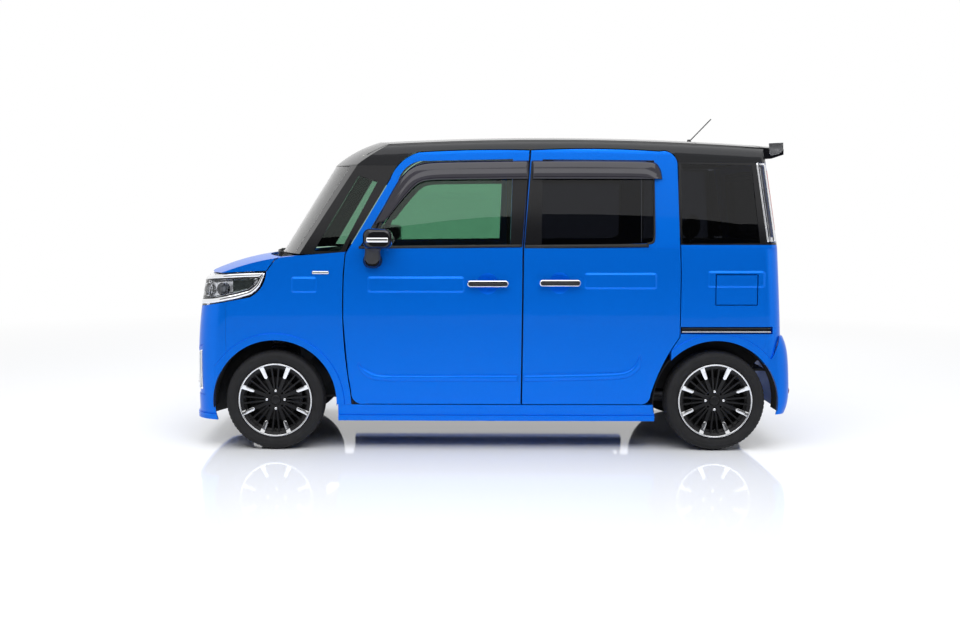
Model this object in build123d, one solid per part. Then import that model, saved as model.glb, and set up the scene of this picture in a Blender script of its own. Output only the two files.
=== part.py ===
"""A tall-bodied kei car: a short-nosed wagon with hinged front doors, sliding rear doors and a tailgate.

Frame: X runs rearward, Y to the car's right, Z up, in millimetres.
The origin is on the ground under the middle of the car, so the nose is at -X and the left side at -Y.
Left-hand pieces are built first; right-hand ones are their mirror images in the plane Y = 0.
"""

from build123d import *
from functools import cache
from math import cos, hypot, radians, sin, sqrt
import os

# ---------------------------------------------------------------- driving sizes

LENGTH = 3395.0
WIDTH = 1475.0
WHEELBASE = 2460.0
FRONT_OVERHANG = 489.5
TRACK = 1292.0

X_NOSE = -LENGTH / 2
X_TAIL = LENGTH / 2
X_FRONT_AXLE = X_NOSE + FRONT_OVERHANG
X_REAR_AXLE = X_FRONT_AXLE + WHEELBASE
HALF_WIDTH = WIDTH / 2
HALF_TRACK = TRACK / 2

BELT_Z = 1132.0  # where the leaning cabin sides start
ROOF_Z = 1768.0  # highest point of the roof skin
SILL_Z = 165.0  # underside of the side skirts
SILL_TOP_Z = 256.5
FENDER_NOSE_X = -1480.0  # seam between bumper and fender
LIP = 8.0  # how far the lower edges of the bumper and skirts stand out
LIP_Z = 196.0
FLOOR_Z = 262.0  # top of the cabin floor
LOAD_FLOOR_Z = 440.0  # top of the floor over the rear axle

PANEL_GAP = 5.5  # round a moving panel
SEAM = 0.8  # between two fixed panels
SEAT = 0.3  # between a piece and what carries it
HINGE_CLEAR = 5.3  # round the edge that turns in past a hinge

DOOR_WALL = 62.0  # whole door below the belt
FRAME_WALL = 36.0  # whole door frame, pillar or rail above the belt
SKIN = 10.0  # fender, bumper and quarter skins
GLASS = 5.0
SHEET = 12.0  # floor and bulkhead

# ---------------------------------------------------------------- wheels

TYRE_R = 280.0
TYRE_WIDTH = 165.0
TYRE_WALL = 13.0
RIM_R = 207.0  # outside of the rim's flange
BEAD_R = 189.0
RIM_WIDTH = 140.0
ARCH_R = 345.0  # wheel opening in the body side
ARCH_Z = 275.0
ARCH_LIP = 7.0
SPINDLE_R = 14.0
BEARING_CLEAR = 0.06
KINGPIN_FOOT = (0.0, -590.0, 195.0)  # lower ball joint, from the front axle line
KINGPIN_HEAD = (20.0, -475.0, 735.0)  # strut's top bearing
STRUT_PIN_R = 9.0
BALL_R = 9.0
SPOKES = 8  # broad ones, with two thin ones in each gap
HUB_BORE_R = SPINDLE_R + 6
BRAKE_R = 122.0
DISC_FACES = (-8.0, 4.0)  # brake disc, from the wheel's middle outward
CALIPER_FACES = (622.0, 664.0)  # from the car's middle
CALIPER_CLEAR = 3.0
HUB_TAIL_R = 40.0
HUB_TAIL_CLEAR = 6.0

# ---------------------------------------------------------------- hinges and pins

BULKHEAD_X = -1100.0
PILLAR_X = (150.0, 236.0)
BULKHEAD_FOOT_Z = 628.0
SCREEN_HEAD_Z = 1590.0
TAILGATE_HINGE_Y = 400.0
BONNET_HINGE_Y = 600.0
GRILLE_BARS_Z = (826.0, 876.0, 926.0)
PLATE_Y = (-175.0, 175.0)
PLATE_Z = (800.0, 975.0)
PLATE_DEPTH = 20.0
GARNISH_Z = (985.0, 1030.0)
DITCH_Y = (592.0, 606.0)
DITCH_DEPTH = 6.0

os.makedirs("parts", exist_ok=True)


def save(name, shape):
    """Writes one node; a list becomes one node of separate solids."""
    items = shape if isinstance(shape, list) else [shape]
    solids = [s for item in items for s in item.solids()]
    export_step(Compound(children=solids) if len(solids) > 1 else solids[0], f"parts/{name}.step")


def mirrored(shape):
    """The right-hand twin of a left-hand piece."""
    return mirror(shape, about=Plane.XZ)


def block(x, y, z):
    """A box given by its low and high values along each axis."""
    return Pos(sum(x) / 2, sum(y) / 2, sum(z) / 2) * Box(x[1] - x[0], y[1] - y[0], z[1] - z[0])


def rod(start, end, radius):
    """A round bar between two points."""
    a, b = Vector(*start), Vector(*end)
    return extrude(Plane(origin=a, z_dir=b - a) * Circle(radius), amount=(b - a).length)


def outline(rows, grow=0.0):
    """A flat face from rows of x, z; a row that goes on with a via x, z is reached by an arc."""
    edges = []
    for last, row in zip(rows[-1:] + rows[:-1], rows):
        start, end = (last[0], last[1]), (row[0], row[1])
        edges.append(ThreePointArc(start, (row[2], row[3]), end) if len(row) == 4 else Line(start, end))
    face = make_face(edges).face()
    return offset(face, amount=grow).face() if grow else face


def across(face, y0, y1):
    """A side-view face carried across the car from y0 to y1."""
    return extrude(Pos(0, y0, 0) * (Plane.XZ * face), amount=y1 - y0, dir=(0, 1, 0))


def along(face, x0, x1):
    """A front-view face, drawn in y and z, carried along the car from x0 to x1."""
    return extrude(Plane.YZ.offset(x0) * face, amount=x1 - x0, dir=(1, 0, 0))


def disc(x, z, radius, y0, y1):
    """A cylinder about an axis along Y."""
    return Pos(x, (y0 + y1) / 2, z) * Rot(90, 0, 0) * Cylinder(radius, y1 - y0)


def post(x, y, radius, z0, z1):
    """A cylinder about an upright axis."""
    return Pos(x, y, (z0 + z1) / 2) * Cylinder(radius, z1 - z0)


# ---------------------------------------------------------------- body volumes

# Plan outlines of the lower body, from the sill up. Columns: z, nose x, tail x, half width at mid length
LOWER_LEVELS = (
    (150.0, X_NOSE + LIP, 1640.0, 704.0),
    (400.0, X_NOSE + 8, 1648.0, 730.0),
    (680.0, X_NOSE + 18, 1640.0, HALF_WIDTH),
    (920.0, X_NOSE + 50, 1628.0, 734.0),
    (1150.0, X_NOSE + 108, 1617.0, 721.0),
)
NOSE_SAG = 42.0  # how far the nose falls back from the middle to the corners
TAIL_SAG = 22.0
SIDE_SAG = 16.0  # how far the side draws in from mid length to each end
NOSE_CORNER_R = 185.0
TAIL_CORNER_R = 110.0

BOW_X = 374.0  # the windscreen and bonnet bow about an upright axis here
# Centreline of the bonnet and cowl: x, z
BONNET_LINE = ((-1760.0, 900.0), (-1640.0, 990.0), (-1500.0, 1042.0), (-1300.0, 1084.0), (-1000.0, 1112.0))
# Centreline of the windscreen and the roof's brow: x, z
SCREEN_LINE = ((-1427.0, 790.0), (-921.0, 1597.0))
BROW_LINE = ((-921.0, 1597.0), (-760.0, 1702.0), (-520.0, 1762.0))

# Cross-sections of the cabin. Columns: x, half width at the belt, half width at the rail, crown z
CABIN_SECTIONS = (
    (-1350.0, 706.0, 634.0, 1689.0),
    (300.0, 719.0, 653.0, ROOF_Z),
    (1950.0, 694.0, 628.0, 1689.0),
)
CABIN_FOOT = 1100.0
RAIL_DROP = 42.0  # crown to rail
ROOF_CORNER_R = 85.0
TAIL_FOOT_X = 1620.0
TAIL_HEAD_X = 1543.0


def round_near(face, radius, test):
    """Rounds the corners of a flat face that pass the test."""
    return face.fillet_2d(radius, [v for v in face.vertices() if test(v)])


def bowed_outline(x0, x1, half, sag0, sag1, side_sag, r0, r1):
    """A plan outline of four shallow arcs with rounded corners, on the plane z = 0."""
    edge = half - side_sag
    front, rear, mid = x0 + sag0, x1 - sag1, (x0 + sag0 + x1 - sag1) / 2
    sides = [
        ThreePointArc((front, -edge), (mid, -half), (rear, -edge)),
        ThreePointArc((rear, -edge), (x1, 0), (rear, edge)),
        ThreePointArc((rear, edge), (mid, half), (front, edge)),
        ThreePointArc((front, edge), (x0, 0), (front, -edge)),
    ]
    face = make_face(sides).face()
    front_ones = [v for v in face.vertices() if v.X < mid]
    face = face.fillet_2d(r0, front_ones)
    rear_ones = [v for v in face.vertices() if v.X > rear - 1]
    return face.fillet_2d(r1, rear_ones)


def bow_under(line, floor_z):
    """All that lies behind and under a centreline that is bowed about the upright axis at BOW_X."""
    last_z = line[-1][-1][1]
    points = [ThreePointArc(*p) if len(p) == 3 else Line(*p) for p in line]
    start = line[0][0]
    points += [
        Line(line[-1][-1], (BOW_X, last_z)),
        Line((BOW_X, last_z), (BOW_X, floor_z)),
        Line((BOW_X, floor_z), (start[0], floor_z)),
    ]
    if start[1] != floor_z:
        points.append(Line((start[0], floor_z), start))
    face = Plane.XZ * make_face(points).face()
    half = revolve(face, Axis((BOW_X, 0, 0), (0, 0, 1)), 360)
    return half & block((-2600, BOW_X), (-1400, 1400), (-100, 2400))


def behind(floor_z, x0=BOW_X):
    """A plain block behind the bow's axis."""
    return block((x0, 2400), (-1400, 1400), (floor_z, 2400))


def cabin_section(x, belt, rail, crown, inset):
    """One cross-section of the cabin: a flat foot, leaning sides and a crowned roof."""
    top = crown - inset
    rail_z = top - RAIL_DROP
    lean = (belt - rail) / (crown - RAIL_DROP - BELT_Z)
    foot_half = belt + lean * (BELT_Z - CABIN_FOOT) - inset
    head_half = belt - lean * (rail_z - BELT_Z) - inset
    face = make_face(
        [
            Line((-foot_half, CABIN_FOOT), (foot_half, CABIN_FOOT)),
            Line((foot_half, CABIN_FOOT), (head_half, rail_z)),
            ThreePointArc((head_half, rail_z), (0, top), (-head_half, rail_z)),
            Line((-head_half, rail_z), (-foot_half, CABIN_FOOT)),
        ]
    ).face()
    return Plane.YZ.offset(x) * round_near(face, ROOF_CORNER_R - inset, lambda v: v.Y > CABIN_FOOT + 1)


def tail_cutter(inset=0.0):
    """All that lies ahead of the cabin's back, moved forward by inset."""
    faces = []
    for z, tail, half in ((CABIN_FOOT - 10, TAIL_FOOT_X, 726.0), (ROOF_Z + 20, TAIL_HEAD_X - 17, 656.0)):
        corner = TAIL_CORNER_R - inset
        face = bowed_outline(-3000, tail - inset, half + 6 - inset, 10, TAIL_SAG, 6, 30, corner)
        faces.append(Pos(0, 0, z) * face)
    return loft(faces, ruled=True)


@cache
def cabin(inset=0.0):
    """The cabin above the belt, drawn in by inset all round."""
    tube = loft([cabin_section(*row, inset) for row in CABIN_SECTIONS])
    screen = [(x + 1.18 * inset, z) for x, z in SCREEN_LINE]
    brow = [screen[1]]
    for (x, z), k in zip(BROW_LINE[1:], (0.7, 0.1)):
        brow.append((x + inset * k, z - inset * (1 - k / 2)))
    top = (BROW_LINE[2][0] + 200, BROW_LINE[2][1] + 40)
    front = bow_under([tuple(screen), tuple(brow), (brow[2], top)], SCREEN_LINE[0][1])
    return tube & (front + behind(SCREEN_LINE[0][1])) & tail_cutter(inset)



# ---------------------------------------------------------------- panel outlines

# Side-view outlines. Columns: x, z and, where an arc leads there, a point x, z on that arc
FRONT_DOOR = (
    (166, 262), (-700, 262), (-781, 330, -762, 278), (-807, 1100, -822, 740), (-560, 1512),
    (-400, 1660, -505, 1600), (210, 1671, -100, 1672), (172, 1132),
)
SLIDE_DOOR = (
    (175, 262), (181, 1132), (221, 1671), (930, 1664, 600, 1678), (1028, 1600, 1005, 1645),
    (1046, 1000), (1044, 640), (889, 315, 960, 500), (823, 262, 869, 272),
)
FRONT_WINDOW = (
    (104, 1142), (-728, 1142), (-520, 1496), (-350, 1614, -458, 1588), (120, 1624),
)
SLIDE_WINDOW = ((277, 1146), (283, 1622), (900, 1616), (905, 1200), (865, 1158, 893, 1170))
CORNER_WINDOW = ((-985, 1116), (-735, 1532), (-632, 1500), (-838, 1116))
QUARTER_WINDOW = ((1054, 1156), (1050, 1598), (1440, 1588), (1484, 1160))
TAIL_LAMP = ((1462, 1604), (1522, 1162), (1900, 1162), (1900, 1604))
HEAD_LAMP = ((-1900, 806), (-1620, 806), (-1345, 858), (-1251, 1001, -1285, 905), (-1545, 986), (-1900, 968))
BONNET_SIDE = (
    (-1900, 974), (-1545, 992), (-1251, 1007), (-1202, 1074), (-1000, 1100), (-900, 1300), (-1900, 1300),
)
BONNET_HALF = 650.0  # behind the shut line's bend, where the fender's top starts
BONNET_STEP_X = -1190.0
BONNET_BACK_R = 1680.0  # bonnet's rear edge, about the bow's axis
LAMP_INNER_Y = 350.0
TAILGATE_HALF = 585.0
QUARTER_BELT_Z = 1150.0
REAR_BUMPER_SIDE = (
    (1500, 205), (1900, 205), (1900, 641), (1606, 641), (1520, 470, 1573, 545), (1500, 440),
)
# Rear bumper. Columns: z, rear x
REAR_BUMPER_LEVELS = (
    (205.0, X_TAIL - 24), (300.0, X_TAIL - 1.2), (350.0, X_TAIL - 0.2), (540.0, X_TAIL - 13),
    (641.0, X_TAIL - 45),
)
TAILGATE_FOOT_Z = 655.0
# Front-view outline of the windscreen: y, z
SCREEN_OPENING = ((-640, 1104), (-585, 1586), (585, 1586, 0, 1602), (640, 1104))
LAMP_POCKET = ((-655, 300), (-505, 300), (-470, 440), (-560, 560), (-655, 590))
POCKET_DEPTH = 5.0
REAR_OPENING = ((-505, 1166, 0, 1160), (-470, 1560), (470, 1560, 0, 1572), (505, 1166))
FUEL_LID = ((1244, 821), (1244, 984), (1469, 984), (1469, 821))
RAIL_SLOT = ((1040, 656), (1562, 656), (1562, 697), (1040, 697))
SLOT_DEPTH = 22.0

# Raised bands along the body side. Columns: low x, high x, low z, high z
FENDER_BAND = (-1112.0, -968.0, 884.0, 973.0)
FRONT_DOOR_BAND = (-686.0, -150.0, 886.0, 975.0)
SLIDE_DOOR_BAND = (516.0, 916.0, 906.0, 996.0)
QUARTER_BAND = (1196.0, 1512.0, 914.0, 1007.0)
BAND_PROUD = 4.0
BAND_ROOT = 3.0
BAND_EDGE = 11.0  # width of the sloping edge
BAND_CORNER_R = 16.0
# Below the doors' crease: x and z, with a via point where an arc leads there
FRONT_SWELL = ((300, 200), (-900, 200), (-735, 500), (-622, 419, -690, 440), (300, 430))
SLIDE_SWELL = ((0, 200), (0, 427), (724, 443), (827, 545, 790, 470), (1100, 200))
SWELL = 3.0

FRONT_HANDLE = (-20.0, 936.0)
SLIDE_HANDLE = (378.0, 940.0)
HANDLE_LENGTH = 225.0
HANDLE_HEIGHT = 34.0
HANDLE_WALL = 15.0
HANDLE_REACH = 40.0  # outside of the bar, from the skin
BOWL_R = 60.0
BOWL_DEPTH = 18.0

DOOR_AXIS = (-772.0, -710.0)
DOOR_HINGES_Z = (470.0, 900.0)
# Front edge of the door. Columns: z, reach ahead of the hinge axis, skin outside the hinge axis
DOOR_NOSE = (
    (255.0, 3.0, 3.0), (330.0, 9.0, 10.0), (400.0, 20.0, 17.0), (560.0, 35.0, 22.0),
    (740.0, 49.5, 24.0), (980.0, 47.0, 18.0), (1100.0, 35.0, 12.0), (1180.0, 0.5, 4.0),
)
MIRROR_AT = (-624.0, 1186.0)
POD_AT = (-657.0, 1064.0)
PIN_R = 5.5
KNUCKLE_R = 9.5
KNUCKLE_HEIGHT = 30.0
NOTCH_HEIGHT = 62.0
PIN_CLEAR = 0.1

TAILGATE_AXIS = (1432.0, 1685.0)
TAILGATE_EDGE_R = 62.0
BONNET_AXIS = (-1150.0, 1045.0)
FUEL_AXIS = (1258.0, -711.0)
FUEL_SWING_R = 18.6
FUEL_PIN_R = 3.0
FUEL_POCKET_Y = -687.0

ENGINE_X = (-1560.0, -1290.0)
EXHAUST_Y = 150.0
PIPE_Z = 212.0
PIPE_R = 20.0
WIPER_SWEEP_R = 1632.0  # blades, about the bow's axis
WIPER_Z = 1098.0
SPINDLE_SWEEP_R = 1645.0
TROUGH_Z = 1034.0
ANTENNA_FOOT = (1216.0, 0.0, 1752.0)
ANTENNA_TIP = (1346.0, 0.0, 1887.0)


def left_half(shape):
    """What lies well to the left of the middle."""
    return shape & block((-2000, 2000), (-1000, -200), (-100, 2400))


@cache
def tub(inset=0.0):
    """The lower body with no bonnet cut, open to its top."""
    faces = []
    for z, nose, tail, half in LOWER_LEVELS:
        face = bowed_outline(
            nose + inset, tail - inset, half - inset, NOSE_SAG, TAIL_SAG, SIDE_SAG,
            NOSE_CORNER_R - inset, TAIL_CORNER_R - inset,
        )
        faces.append(Pos(0, 0, z) * face)
    return loft(faces)


@cache
def under_bonnet(inset=0.0):
    """What lies under the bonnet and fender tops, drawn down by inset."""
    a, b, c, d, e = [(x + inset, z - inset) for x, z in BONNET_LINE]
    ahead = bow_under([(a, b), (b, c, d), (d, e), (e, (-860.0, BELT_Z - inset))], 100.0)
    return ahead + block((BOW_X, 2400), (-1400, 1400), (100, BELT_Z - inset))


@cache
def nose_swing(clear):
    """What the door's front edge sweeps about its hinge axis, grown by clear."""
    x, y = DOOR_AXIS
    rows = [(hypot(a, d) + clear, z) for z, a, d in DOOR_NOSE]
    points = [(0, rows[0][1])] + rows + [(0, rows[-1][1])]
    face = make_face(Polyline([(r, 0, z) for r, z in points], close=True).edges()).face()
    return Pos(x, y, 0) * revolve(face, Axis.Z, 360)


# Volumes that the panels are cut from
TUB = tub()
TUB_SKIN = tub(SKIN)
TUB_WALL = tub(DOOR_WALL)
LID = under_bonnet()
LID_SKIN = under_bonnet(12.0)
LOW = TUB & LID
LOW_SKIN = TUB_SKIN & LID_SKIN
CAB = cabin()
CAB_WALL = cabin(FRAME_WALL)

BELOW_BELT = block((-2000, 2000), (-1000, 1000), (100, BELT_Z))
ABOVE_BELT = block((-2000, 2000), (-1000, 1000), (BELT_Z, 2400))
LEFT = (-1000.0, -300.0)
low_wall = left_half((TUB - TUB_WALL) & BELOW_BELT)
low_skin = left_half(LOW - LOW_SKIN)
cab_wall = CAB - CAB_WALL
left_cab_wall = left_half(cab_wall & ABOVE_BELT)
glass_wall = cabin(4.0) - cabin(4.0 + GLASS)
left_glass_wall = left_half(glass_wall & block((-2000, 2000), (-1000, 1000), (1110, 2400)))


def front_arch(radius):
    return disc(X_FRONT_AXLE, ARCH_Z, radius, -900, -300)


def rear_arch(radius):
    return disc(X_REAR_AXLE, ARCH_Z, radius, -900, -300)


def skin_plane(x, z):
    """A plane on the left body side at x, z, with its own X along the car and its Z out of the skin."""
    point, normal = TUB.find_intersection_points(Axis((x, -1000, z), (0, 1, 0)))[0]
    return Plane(origin=point, x_dir=(1, 0, 0), z_dir=normal)


def band(x0, x1, z0, z1):
    """A shallow raised band with sloping edges, rooted in the body side."""
    plane = skin_plane((x0 + x1) / 2, (z0 + z1) / 2)
    spread = BAND_EDGE * BAND_ROOT / BAND_PROUD
    foot = RectangleRounded(x1 - x0 + 2 * spread, z1 - z0 + 2 * spread, BAND_CORNER_R + spread)
    head = RectangleRounded(x1 - x0 - 2 * BAND_EDGE, z1 - z0 - 2 * BAND_EDGE, BAND_CORNER_R - BAND_EDGE)
    return loft([plane.offset(-BAND_ROOT) * foot, plane.offset(BAND_PROUD) * head])


def swell(rows):
    """The lower part of a door, pressed out below its crease."""
    return left_half(tub(-SWELL) - tub(SWELL)) & across(outline(rows), *LEFT)


def arch_lip(x):
    """The rolled edge round a wheel opening, thinning outward."""
    rise = ARCH_LIP + 2
    mid = HALF_WIDTH - rise / 2
    cone = Pos(x, -mid, ARCH_Z) * Rot(90, 0, 0) * Cone(ARCH_R + 46, ARCH_R + 46 - 2 * rise, 4 * rise)
    return left_half(tub(-ARCH_LIP) - tub(ARCH_LIP)) & cone


def bowl(x, z):
    """The round hollow behind a door handle."""
    sphere_r = (BOWL_R**2 + BOWL_DEPTH**2) / (2 * BOWL_DEPTH)
    return skin_plane(x, z).offset(sphere_r - BOWL_DEPTH) * Sphere(sphere_r)


# ---------------------------------------------------------------- front doors


def front_door():
    """The door's lower half, its front edge turned about the hinge axis, with a pin in each notch."""
    x, y = DOOR_AXIS
    door = (low_wall + swell(FRONT_SWELL) + band(*FRONT_DOOR_BAND)) & across(outline(FRONT_DOOR), *LEFT)
    door = door - bowl(*FRONT_HANDLE)
    ahead = block((x - 120, x), (-900, -500), (200, 1400))
    door = door - (ahead - nose_swing(0.0))
    for z in DOOR_HINGES_Z:
        half = NOTCH_HEIGHT / 2
        notch = block((x - 90, x + 18), (y - KNUCKLE_R - 3, y + 90), (z - half, z + half))
        door = door - notch + post(x, y, PIN_R, z - half, z + half)
    return door


def door_frame():
    """The sash above the belt, with its window cut."""
    x, y = DOOR_AXIS
    frame = left_cab_wall & across(outline(FRONT_DOOR), *LEFT)
    ahead = block((x - 120, x), (-900, -500), (200, 1400))
    frame = frame - (ahead - nose_swing(0.0))
    return frame - across(outline(FRONT_WINDOW), *LEFT)


def door_glass():
    return left_glass_wall & across(outline(FRONT_WINDOW, -SEAT), *LEFT) & ABOVE_BELT


def door_mirror():
    """The mirror's rounded housing on the pod that stands on the door below it."""
    sections = []
    # Columns: y, length, height, corner radius, shift of the middle in x
    for y, long, high, corner, shift in (
        (-748, 118, 84, 30, 6), (-800, 158, 108, 40, 0), (-858, 150, 104, 40, 2), (-880, 118, 78, 34, 6),
    ):
        face = RectangleRounded(long, high, corner)
        sections.append(Pos(MIRROR_AT[0] + shift, y, MIRROR_AT[1]) * (Plane.XZ * face))
    housing = loft(sections)
    pod = []
    # Columns: y, length, height
    for y, long, high in ((-690, 112, 92), (-752, 104, 84), (-776, 76, 58)):
        pod.append(Pos(POD_AT[0], y, POD_AT[1]) * (Plane.XZ * RectangleRounded(long, high, high / 2 - 2)))
    neck = rod((POD_AT[0] + 8, -752, POD_AT[1]), (MIRROR_AT[0] - 18, -786, MIRROR_AT[1] - 30), 21)
    return housing + neck + loft(pod, ruled=True) - tub(-SEAT) - cabin(-SEAT)


def handle(x, z):
    """A pull bar on two feet, set on the body side over its hollow."""
    plane = skin_plane(x, z)
    bar = Box(HANDLE_LENGTH, HANDLE_HEIGHT, HANDLE_WALL)
    bar = fillet(bar.edges().filter_by(Axis.Z), HANDLE_HEIGHT / 2 - 1)
    bar = chamfer(bar.faces().sort_by(Axis.Z)[-1].edges(), 4)
    made = plane.offset(HANDLE_REACH - HANDLE_WALL / 2) * bar
    for shift in (-1, 1):
        reach = HANDLE_REACH - HANDLE_WALL + 1
        foot = Pos(shift * (HANDLE_LENGTH / 2 - 20), 0, 0) * Cylinder(11, 2 * reach)
        made = made + plane * foot
    return made - tub(-SEAT)


# ---------------------------------------------------------------- fixed side panels


def slide_door():
    door = (low_wall + swell(SLIDE_SWELL) + band(*SLIDE_DOOR_BAND)) & across(outline(SLIDE_DOOR), *LEFT)
    door = door - bowl(*SLIDE_HANDLE)
    rear_post = left_cab_wall & across(outline(SLIDE_DOOR), *LEFT)
    rear_post = rear_post & block((912, 1100), (-1000, 0), (BELT_Z, 1800))
    return door + rear_post


def slide_handle():
    return handle(*SLIDE_HANDLE)


def slide_frame():
    frame = left_cab_wall & across(outline(SLIDE_DOOR), *LEFT)
    frame = frame & block((0, 912 - SEAT), (-1000, 0), (BELT_Z + SEAT, 1800))
    return frame - across(outline(SLIDE_WINDOW), *LEFT)


@cache
def plain_quarter():
    """The rear side panel, open at the wheel arch, with the slide door's rail slot."""
    corner = block((1000, 2000), (-1000, -TAILGATE_HALF - PANEL_GAP), (100, QUARTER_BELT_Z))
    panel = low_wall + (left_cab_wall & block((1000, 2000), (-1000, 0), (BELT_Z, 1300)))
    panel = (panel + arch_lip(X_REAR_AXLE) + band(*QUARTER_BAND)) & corner
    panel = panel - (across(outline(RAIL_SLOT), *LEFT) - tub(SLOT_DEPTH))
    panel = panel - across(outline(SLIDE_DOOR, PANEL_GAP), *LEFT) - rear_arch(ARCH_R)
    panel = panel - across(outline(REAR_BUMPER_SIDE, SEAM), -1000, 1000)
    return panel & block((700, 2000), (-1000, 0), (FLOOR_Z, 1400))


def filler_quarter():
    """The left quarter panel, with the pocket that the filler lid shuts and the ear for its pin."""
    x, y = FUEL_AXIS
    panel = plain_quarter()
    panel = panel - across(outline(FUEL_LID, PANEL_GAP), -1000, FUEL_POCKET_Y)
    low, high = FUEL_LID[0][1] - PANEL_GAP, FUEL_LID[1][1] + PANEL_GAP
    panel = panel - post(x, y, FUEL_SWING_R + HINGE_CLEAR, low, high)
    ear = block((x - 6, x + 6), (y, FUEL_POCKET_Y + 10), (870, 934)) + post(x, y, 6, 870, 934)
    return panel + (ear - post(x, y, FUEL_PIN_R + PIN_CLEAR, 860, 950))


def front_fender():
    fender = low_skin + arch_lip(X_FRONT_AXLE) + band(*FENDER_BAND)
    fender = fender & block((FENDER_NOSE_X, DOOR_AXIS[0]), (-1000, -300), (SILL_TOP_Z + SEAM, BELT_Z))
    fender = fender - across(outline(FRONT_DOOR, PANEL_GAP), *LEFT) - nose_swing(HINGE_CLEAR)
    fender = fender - front_arch(ARCH_R) - across(outline(HEAD_LAMP, SEAM), *LEFT)
    inner = block((-1900, -700), (-BONNET_HALF - PANEL_GAP, 0), (300, 1400))
    return fender - across(outline(BONNET_SIDE, PANEL_GAP), -660, -200) - inner - bonnet_zone(PANEL_GAP)


def bonnet_zone(grow=0.0):
    """The space above the bonnet's shut line."""
    wide = across(outline(BONNET_SIDE, grow), -1000, 1000)
    wide = wide & block((-2000, BONNET_STEP_X + grow), (-1000, 1000), (900, 1400))
    narrow_half = BONNET_HALF + grow
    narrow = across(outline(BONNET_SIDE, grow), -narrow_half, narrow_half)
    ring = post(BOW_X, 0, 2600, 900, 1400) - post(BOW_X, 0, BONNET_BACK_R - grow, 800, 1500)
    return (wide + narrow) & ring


def bonnet():
    return (LOW - LOW_SKIN) & bonnet_zone()



# ---------------------------------------------------------------- cabin top and glass

def screen_cut(grow=0.0):
    return along(outline(SCREEN_OPENING, grow), -1500, -700)


def screen_post():
    """The post between windscreen and front door, with its small corner window."""
    post_wall = left_half(cab_wall) & block((-1300, -450), (-1000, 0), (1090, SCREEN_HEAD_Z))
    post_wall = post_wall - (tub(-SEAT) & under_bonnet(-SEAT))
    post_wall = post_wall - across(outline(FRONT_DOOR, PANEL_GAP), *LEFT) - nose_swing(HINGE_CLEAR)
    return post_wall - screen_cut() - across(outline(CORNER_WINDOW), *LEFT)


def roof_panel():
    """The roof, from the top of the windscreen to the tailgate's shut line and over the doors."""
    roof = cab_wall & block((-1300, 1700), (-1000, 1000), (SCREEN_HEAD_Z + SEAM, 1900))
    roof = roof - screen_cut() - across(outline(FRONT_DOOR, PANEL_GAP), -1000, 1000)
    roof = roof - across(outline(SLIDE_DOOR, PANEL_GAP), -1000, 1000)
    roof = roof - block((203, 224), (-1000, 1000), (1500, 1672))
    roof = roof - block((1000, 1700), (-1000, 1000), (1500, 1604 + SEAM))
    ditch = (block((-700, 1700), DITCH_Y, (1650, 1900)) & CAB) - cabin(DITCH_DEPTH)
    roof = roof - ditch - mirrored(ditch)
    reach = TAILGATE_HALF + PANEL_GAP
    x, z = TAILGATE_AXIS
    behind = block((x, 1800), (-reach, reach), (1500, 1900))
    roof = roof - (behind - disc(x, z, TAILGATE_EDGE_R, -reach, reach))
    for side in (-1, 1):
        mid = side * TAILGATE_HINGE_Y
        pocket = block((x - 16, x + 90), (mid - 9, mid + 9), (1500, z + 14))
        bore = disc(x, z, PIN_R + PIN_CLEAR, mid - 22.5, mid + 22.5)
        roof = roof - pocket - bore
    return roof


def tailgate_zone():
    """The space that the tailgate fills."""
    x, z = TAILGATE_AXIS
    zone = block((x, 1800), (-TAILGATE_HALF, TAILGATE_HALF), (TAILGATE_FOOT_Z, 1900))
    return zone - disc(x, z, TAILGATE_EDGE_R + PANEL_GAP, -700, 700)


def tailgate():
    """The rear door with its window cut and two hinge arms, each with its pin."""
    low = (TUB - TUB_WALL) & BELOW_BELT
    gate = (low + (cab_wall & ABOVE_BELT)) & tailgate_zone()
    gate = gate - along(outline(REAR_OPENING), 1300, 1800)
    gate = gate - (block((1500, 1800), PLATE_Y, PLATE_Z) - tub(PLATE_DEPTH))
    gate = gate + ((tub(-4) - tub(4)) & block((1500, 1800), (PLATE_Y[0] - 40, PLATE_Y[1] + 40), GARNISH_Z))
    x, z = TAILGATE_AXIS
    for side in (-1, 1):
        mid = side * TAILGATE_HINGE_Y
        deep = TAILGATE_EDGE_R + HINGE_CLEAR
        arm_rows = (
            (x - 8, z), (x - 8, z - deep - 15), (x + 100, z - deep - 15),
            (x + 100, z - deep), (x + 8, z - deep), (x + 8, z),
        )
        arm = across(outline(arm_rows), mid - 7, mid + 7) + disc(x, z, KNUCKLE_R, mid - 7, mid + 7)
        pin = disc(x, z, PIN_R, mid - 22, mid + 22)
        gate = gate + arm + pin
    return gate


def spoiler():
    """The wing that carries the roof's line on past the rear window."""
    tube = loft([cabin_section(*row, 0.0) for row in CABIN_SECTIONS])
    rows = ((1440, 1850), (1632, 1850), (1632, 1650), (1566, 1628), (1440, 1622))
    reach = TAILGATE_HALF - 2
    return (tube & across(outline(rows), -reach, reach)) - cabin(0.0)


def corner_glass():
    return left_half(glass_wall) & across(outline(CORNER_WINDOW, -SEAT), *LEFT)


def side_glass():
    """The fixed windows of one side."""
    return [corner_glass()] + [
        left_glass_wall & across(outline(rows, -SEAT), *LEFT) for rows in (SLIDE_WINDOW, QUARTER_WINDOW)
    ]


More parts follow.
